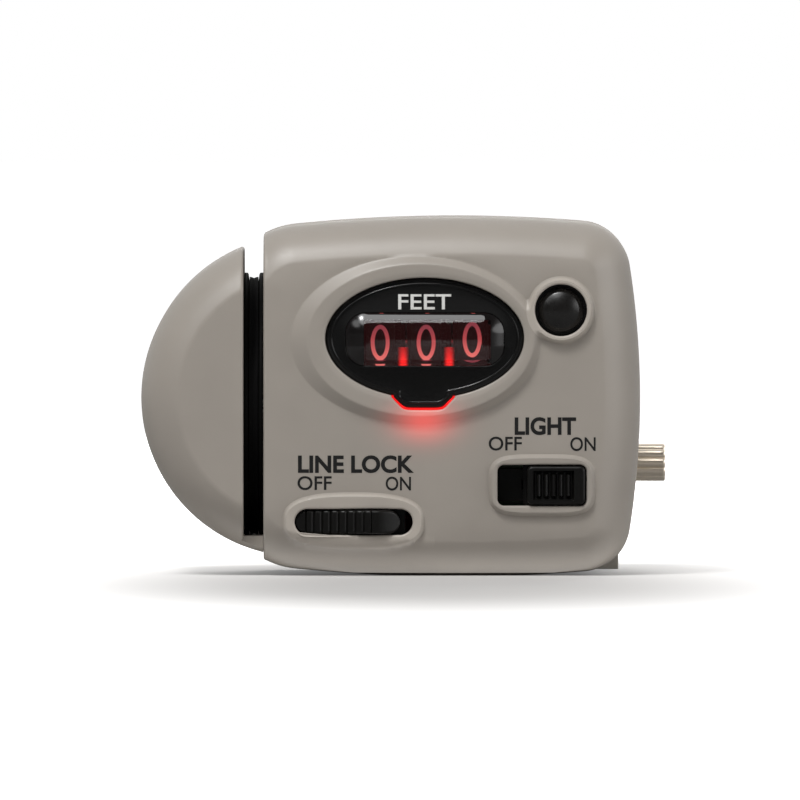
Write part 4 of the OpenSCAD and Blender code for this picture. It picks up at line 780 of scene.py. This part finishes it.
# -------- display panel
# A glossy black oval plate, sunk in the collar, with a fine bead round its edge,
# a tapered tab below and an opening for the lens. The unit word is printed in white.
panel_black = mould("panel_black", (0.005, 0.005, 0.005), 0.16, grain=1600, relief=8, spec=0.3)
panel_y, turn, window, window_mouth = front_y - 0.4, 0.45, (3.05, 35.525), 0.2
panel_mouth = grown(*window, 23.72, 7.92, 3.0, 14, 40)
bead = [at_y(panel_loop(-g, -g), panel_y - h) for g, h in
        ((turn, 0), (0.6, 0), (0.66, 0.08), (0.74, 0.15), (0.82, 0.17), (0.9, 0.15), (0.98, 0.08), (1.04, 0))]
plate, faces = fill(bead[-1][:, [0, 2]], [panel_mouth(window_mouth)])
edge = [at_y(panel_loop(-g, -g), panel_y + h) for g, h in zip(*rolled(turn, 0, 8))]
edge += [at_y(panel_loop(g, 0), front_y + y) for g, y in ((0, 2.05), (0.6, 2.06), (0.6, 2.6), (0, 2.61))]
plate = join((at_y(plate, panel_y), faces), grid(np.array(bead), ring=True),
             grid(np.array(edge), ring=True), lip(panel_mouth, panel_y, 1, window_mouth, panel_y + 2.6))
plate = walled(*turned_out(*plate), 0.18)
solid("display_plate", *plate, panel_black, "housing", "panel_black", "display_panel")


def word(name, text, x0, x1, z0, z1, face, weight, ink, slot):
    """A printed word: the letters of a plain font, thickened by weight, stretched to fill a box in
    X and Z and laid 0.03 mm thick on a face."""
    letters = bpy.data.curves.new(name + "_letters", "FONT")
    letters.body, letters.offset, letters.extrude, letters.resolution_u = text, weight, 0.5, 6
    held = placed(name + "_letters", letters)
    made = held.evaluated_get(bpy.context.evaluated_depsgraph_get()).to_mesh()
    made.calc_loop_triangles()
    points = np.array([v.co[:] for v in made.vertices])
    faces = np.array([t.vertices[:] for t in made.loop_triangles])
    bpy.data.objects.remove(held)
    bpy.data.curves.remove(letters)
    share = (points - points.min(0)) / np.ptp(points, 0)
    laid = np.stack([x0 + share[:, 0] * (x1 - x0), face + 0.005 - 0.03 * share[:, 2],
                     z0 + share[:, 1] * (z1 - z0)], 1)
    solid(name, *turned_out(*join((laid, faces))), ink, "housing", slot, crease=30)


white_ink = mould("white_ink", (0.62, 0.62, 0.60), 0.5, relief=10)
word("unit_word", "FEET", -0.975, 6.975, 40.05, 42.33, panel_y, 0.01, white_ink, "label_white")

# -------- lens
# A clear moulded bubble with a rounded-rectangle plan and a bowed front, hollow
# behind, pushed into the panel from inside. Its ends and top are opaque black in
# its material, which hides the inside there, so that only the figures show.
bow_r, bulge, half_h = 6.2722, 1.4, 3.95
outer = np.array([3.95, 3.6, 3.2, 2.8, 2.4, 2.0, 1.65, 1.3, 1.0, 0.75, 0.55, 0.38, 0.24, 0.14, 0.07, 0.03])
inner = outer[8::-1]


def crown(k):
    """Y of the bowed front, k in from the lens's edge."""
    return panel_y - (np.sqrt(bow_r ** 2 - (half_h - k) ** 2) - (bow_r - bulge))


def tube(rows, loop=False):
    """Closed skin through rings of points, turned to the outside."""
    return turned_out(*join(grid(np.array(rows), ring=True, loop=loop)))


steps = [*zip(outer, crown(outer)), (0.03, panel_y + 1.5), (0.03, panel_y + 3.0), (0.95, panel_y + 3.0),
         (0.95, panel_y + 1.2), *zip(inner, crown(inner) + 0.85)]
lens_loop = grown(*window, 23.7, 7.9, 3.0, 14, 40)
clear = bpy.data.materials.new("clear_acrylic")
clear.use_nodes = True
tree = clear.node_tree
place = spot(tree)
haze = add(tree, "TexNoise", {"Vector": add(tree, "TexCoord", {}, "Object"), "Scale": 300}, "Fac")
middle = calc("LESS_THAN", calc("ABSOLUTE", calc("SUBTRACT", place["X"], 0.0034)), 0.0095)
bare = calc("MULTIPLY", middle, calc("LESS_THAN", place["Z"], 0.03845))
surface(tree, IOR=1.46, Transmission_Weight=bare,
        Base_Color=mixed(bare, (0.006, 0.005, 0.005, 1), (1, 1, 1, 1)),
        Roughness=calc("ADD", mapped(haze, 0, 1, 0.015, 0.06), mapped(middle, 0, 1, 0.14, 0)))
solid("lens_bubble", *tube([at_y(lens_loop(-k), y) for k, y in steps]), clear, "housing", "lens",
      "display_lens", crease=50)

# -------- reset button
# A black domed cap in satin, with a shallow step round it, that stands in the ring. Its
# stem ends in a 45 degree nose on the comb's ramp, and a steel spring in a well of the
# case, under the flange, lifts it back.
knob_black = mould("knob_black", (0.006, 0.0055, 0.005), 0.3, grain=1900, relief=20, spec=0.4)
button_r, flange_r, stem_r, stem_y, nose_y = 3.38, 4.28, 1.58, -20.0, -17.7


def spun(x, z, profile):
    """A profile of radius and Y carried round an axis along Y through (x, z)."""
    (r, y), a = np.array(profile).T[..., None], turns(96)
    return np.stack([x + r * np.cos(a), 0 * a + y, z + r * np.sin(a)], -1)


def sag(r):
    """Y of the cap's shallow dome at a radius."""
    return front_y - 1.22 + 9 - np.sqrt(81 - 1.6 * r ** 2)


dome = np.linspace(0, 2.7, 16)
brim = ((2.80, 0.03), (2.88, 0.09), (2.94, 0.16), (3.00, 0.19), (3.08, 0.19), (3.18, 0.22), (3.28, 0.31),
        (3.34, 0.42), (button_r, 0.6))
stem = [(button_r, front_y + 2.1), (flange_r, front_y + 2.12), (flange_r, front_y + 2.88),
        (stem_r, front_y + 2.9), (stem_r, stem_y), (stem_r, nose_y), (0.8, nose_y), (0, nose_y)]
rows = spun(*button, [*zip(dome, sag(dome)), *[(r, sag(r) + drop) for r, drop in brim], *stem])
rows[-3:, :, 1] += rows[-3:, :, 2] - button[1]
solid("button_cap", *tube(rows), knob_black, "reset_button", "knob_black", "reset_button", crease=42)
well = spun(*button, [(4.6, front_y + 2.0), (4.6, -19.99), (5.1, -19.99), (5.1, front_y + 2.0)])
solid("button_well", *tube(well, loop=True), housing_plastic, "housing", "housing")
spring_y0, spring_y1, spring_r, wire_r, spring_turns, press = -25.36, -21.0, 2.6, 0.25, 4, 2.0
turn = np.linspace(0, 1, spring_turns * 44 + 1)[:, None]
wire = turns(12)
reach, angle = spring_r + wire_r * np.cos(wire), 2 * np.pi * spring_turns * turn
height = spring_y0 + wire_r + (spring_y1 - spring_y0 - 2 * wire_r) * turn + wire_r * np.sin(wire)
rows = np.stack([button[0] + reach * np.cos(angle), height, button[1] + reach * np.sin(angle)], -1)
ends = rows[[0, -1]].mean(1, keepdims=True) + 0 * rows[[0, -1]]
rows = np.concatenate([ends[:1], rows, ends[1:]])
spring_steel = mould("spring_steel", (0.5, 0.5, 0.5), 0.25, relief=5, metal=1.0)
coil = solid("spring_coil", *tube(rows), spring_steel, "housing", "steel", "reset_spring")
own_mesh(coil)
dress(frame_dark, 0.08, "spring_seat")

# -------- line lock
# A black thumb slide with a scooped, ribbed ramp that rises to a smooth nose,
# on a back plate inside the case. It swings a lever whose rubber pad grips the
# wheel through a window in the cheek.
lock_x0, lock_len, lock_half = -16.3, 15.6, 1.75
x = lock_x0 + lock_len * (0.5 - 0.5 * np.cos(np.pi * np.linspace(0, 1, 33)))
x = np.unique(np.concatenate([x[:6], np.linspace(x[5], x[-6], 300), x[-6:]]))


def lock_height(x, s):
    """Slide face: a low heel, a ramp that rises as the 1.6th power with eight rounded ribs, a crest,
    and a fall to the toe; the long edges are rounded off."""
    heel, ramp_len, rib_count, crest, edge_r = 1.4, 10.0, 8, 12.3, 0.38
    u = np.clip((x - lock_x0 - heel) / ramp_len, 0, 1)
    ramp = 0.35 + 1.5 * u ** 1.6
    phase = np.abs((u * rib_count) % 1 - 0.5) * 2
    ribs = np.where((u > 0) & (u < 1), 0.30 * np.clip((phase - 0.35) / 0.65, 0, 1) ** 1.6, 0)
    fall = 1.42 * np.clip((x - lock_x0 - crest) / (lock_len - crest), 0, 1) ** 1.35
    bulk = np.clip((np.abs(s) - 0.78) / 0.22, 0, 0.999)
    return front_y - np.maximum(ramp - ribs - fall, 0.1) + edge_r * (1 - np.sqrt(1 - bulk ** 2))


def slide(x, z, face, plate_x, plate_z, plate_y):
    """A thumb slide: a knob over a grid in X and Z, out to its face in Y, and the plate behind it."""
    knob = slab(x, z, 0 * x + front_y + 2.2, face)
    plate = block(np.linspace(*plate_x, 5), np.linspace(*plate_z, 4), front_y + plate_y, front_y + 2.1)
    return join(*[turned_out(points[:, [0, 2, 1]], faces) for points, faces in (knob, plate)])


lock_right = lock_x0 + lock_len - lock_half
end = np.clip(np.maximum(lock_x0 + lock_half - x, x - lock_right), 0, lock_half - 1e-3)
half = np.sqrt(lock_half ** 2 - end ** 2)
s = np.sin(np.pi / 2 * np.linspace(-1, 1, 41))
s = np.sign(s) * np.abs(s) ** 0.8
gx, gs = np.meshgrid(x, s, indexing="ij")
gz = lock_slot[1] + half[:, None] * gs
knob = slide(gx, gz, lock_height(gx, gs), (-18.0, 0.1), (5.65, 10.65), 3.28)
slide_black = mould("slide_black", (0.004, 0.0038, 0.0034), 0.36, grain=2000, relief=20, spec=0.22)
solid("lock_slide", *knob, slide_black, "lock_slider", "knob_black", "lock_slider", crease=30)
dress(acetal, 0.08, "lock_lever")
dress(rubber, 0.08, "lock_pad")
dress(steel, 0.06, "lock_pivot")

# -------- lamp switch
# A black slide with a bevelled frame round five upright grip ribs, in a
# rectangular slot. Its stub works a small switch on the lamp board.
knob_c, knob_w, knob_h, knob_r = (22.725, 13.65), 8.7, 5.75, 0.8
gx, gs = np.meshgrid(np.linspace(-1, 1, 150), np.linspace(-1, 1, 90), indexing="ij")
gx = np.sign(gx) * np.abs(np.sin(np.pi / 2 * gx)) ** 0.75 * knob_w / 2
end = np.clip(np.abs(gx) - (knob_w / 2 - knob_r), 0, knob_r - 1e-3)
gz = gs * (knob_h / 2 - knob_r + np.sqrt(knob_r ** 2 - end ** 2))


def box_gap(x, z, half_w, half_h):
    """Distance to a rectangle about the origin, below zero inside it."""
    q = np.stack([np.abs(x) - half_w, np.abs(z) - half_h])
    return np.linalg.norm(np.maximum(q, 0), axis=0) + np.minimum(q.max(0), 0)


def lamp_height(x, z):
    """Switch face: a rounded outer edge, a sloping inner frame down to a sunk field, and five
    rounded ribs that stand up from the field."""
    edge_r, along, rib_step = 0.4, x + 0.4, 1.1
    gap = box_gap(x, z, knob_w / 2 - knob_r, knob_h / 2 - knob_r) - knob_r
    edge = np.clip((gap + edge_r) / edge_r, 0, 0.999)
    sunk = 0.85 * np.clip(-box_gap(along, z, 2.95, 2.1) / 0.3 + 0.4, 0, 1)
    near = np.clip(1 - np.abs(along - rib_step * np.clip(np.round(along / rib_step), -2, 2)) / 0.36, 0, 1)
    rib = 0.72 * np.sqrt(np.clip(1 - (1 - near) ** 2, 0, 1)) * np.clip((1.85 - np.abs(z)) / 0.25, 0, 1)
    return front_y - 1.3 + edge_r * (1 - np.sqrt(1 - edge ** 2)) + np.maximum(sunk - rib, 0)


knob = slide(gx + knob_c[0], gz + knob_c[1], lamp_height(gx, gz), (17.8, 27.65), (9.7, 17.6), 3.1)
solid("lamp_slide", *knob, slide_black, "lamp_switch", "knob_black", "lamp_switch", crease=30)
board_green = mould("board_green", (0.02, 0.09, 0.035), 0.4)
led_red = mould("led_red", (0.6, 0.02, 0.015), 0.15, Emission_Strength=0.8, Emission_Color=(1, 0.06, 0.04, 1))
cell_steel = mould("cell_steel", (0.6, 0.6, 0.62), 0.22, relief=6, metal=1.0)
dress(board_green, 0.05, "lamp_board")
dress(frame_dark, 0.08, "switch_body")
dress(led_red, 0, "lamp_led")
dress(cell_steel, 0.1, "battery_cells", "battery_contacts")

# -------- printed words
# The plain function words of the two switches, printed in black ink straight
# on the face of the case.
black_ink = mould("black_ink", (0.010, 0.010, 0.010), 0.6, relief=10, spec=0.2)
for name, text, x0, x1, z0, z1, weight in (
        ("lock_word", "LINE LOCK", -16.005, 1.395, 15.48, 18.15, 0.034),
        ("lock_off", "OFF", -16.08, -10.95, 12.93, 15.03, 0.012),
        ("lock_on", "ON", -2.85, 0.945, 12.855, 14.955, 0.012),
        ("lamp_word", "LIGHT", 16.5, 25.725, 21.18, 23.88, 0.034),
        ("lamp_off", "OFF", 12.6, 17.58, 18.855, 20.955, 0.012),
        ("lamp_on", "ON", 24.84, 28.65, 18.78, 20.88, 0.012)):
    word(name, text, x0, x1, z0, z1, front_y, weight, black_ink, "label_black")

# -------- battery door and screws
# A flush door with grip bars over the three cells, and plated screws with
# crossed slots that hold the cover, the guard plate, the clamp and the insides.
dress(housing_plastic, 0.15, "battery_door")
screw_steel = mould("screw_steel", (0.42, 0.42, 0.43), 0.3, relief=8, metal=1.0)
dress(screw_steel, 0.07, "housing_screws", "guard_screws", "clamp_screws", "frame_screws",
      "board_screws", "plate_screws")

# -------- rod clamp
# A grey moulded bracket screwed to the back: a rubber-lined cradle for the rod,
# and an arm whose brass insert guides the clamp screw and its rubber-faced pad.
clamp_grey = mould("clamp_grey", (0.43, 0.40, 0.355), 0.46, relief=40)
dress(clamp_grey, 0.45, "rod_clamp")
dress(rubber, 0.12, "cradle_liner")
dress(frame_dark, 0.25, "pressure_pad")
dress(bush_brass, 0.08, "thread_insert")

# -------- clamp screw
# Turned brass, polished: a head with ten rounded flutes and broken ends, a
# threaded shank through the insert, and a plain tip that turns in the pad.
screw_y, screw_z, pitch = 22.95, 16.0, 0.8
theta = turns(200)
lean = (theta + np.pi / 10) % (np.pi / 5) - np.pi / 10
flute_at, flute_r, broken = 2.08, 0.85, 0.35
flute = flute_at * np.cos(lean) + np.sqrt(flute_r ** 2 - (flute_at * np.sin(lean)) ** 2)
rings = [(18.85, 0), (18.85, 1.2), (19.1, 1.48), (20.5, 1.48), (20.6, 1.9)]
for x in np.arange(20.9, 34.3, 0.1):
    ridge = np.abs(((x / pitch - theta / (2 * np.pi)) % 1) - 0.5) * 2
    rings.append((x, 2.48 - 0.42 * np.clip(1.25 * ridge - 0.12, 0, 1)))
rings.append((34.45, 2.1))
worn = list(zip(*rolled(broken, 0, 6)))
rings += [(34.62 + g, flute - h) for g, h in worn[::-1]]
rings += [(x, flute) for x in np.linspace(35.0, 39.2, 12)[1:-1]]
rings += [(39.58 - g, flute - h) for g, h in worn]
rings += [(39.58, np.minimum(flute - 0.5, 2.1)), (39.5, 1.9), (39.42, 1.2), (39.4, 0)]
rows = [np.stack([x + 0 * theta, screw_y + r * np.cos(theta), screw_z + r * np.sin(theta)], -1)
        for x, r in rings]
brass = mould("polished_brass", (0.98, 0.86, 0.72), 0.33, grain=1200, relief=1, metal=1.0)
solid("clamp_screw_brass", *tube(rows), brass, "thumb_screw", "brass", "thumb_screw", crease=45)
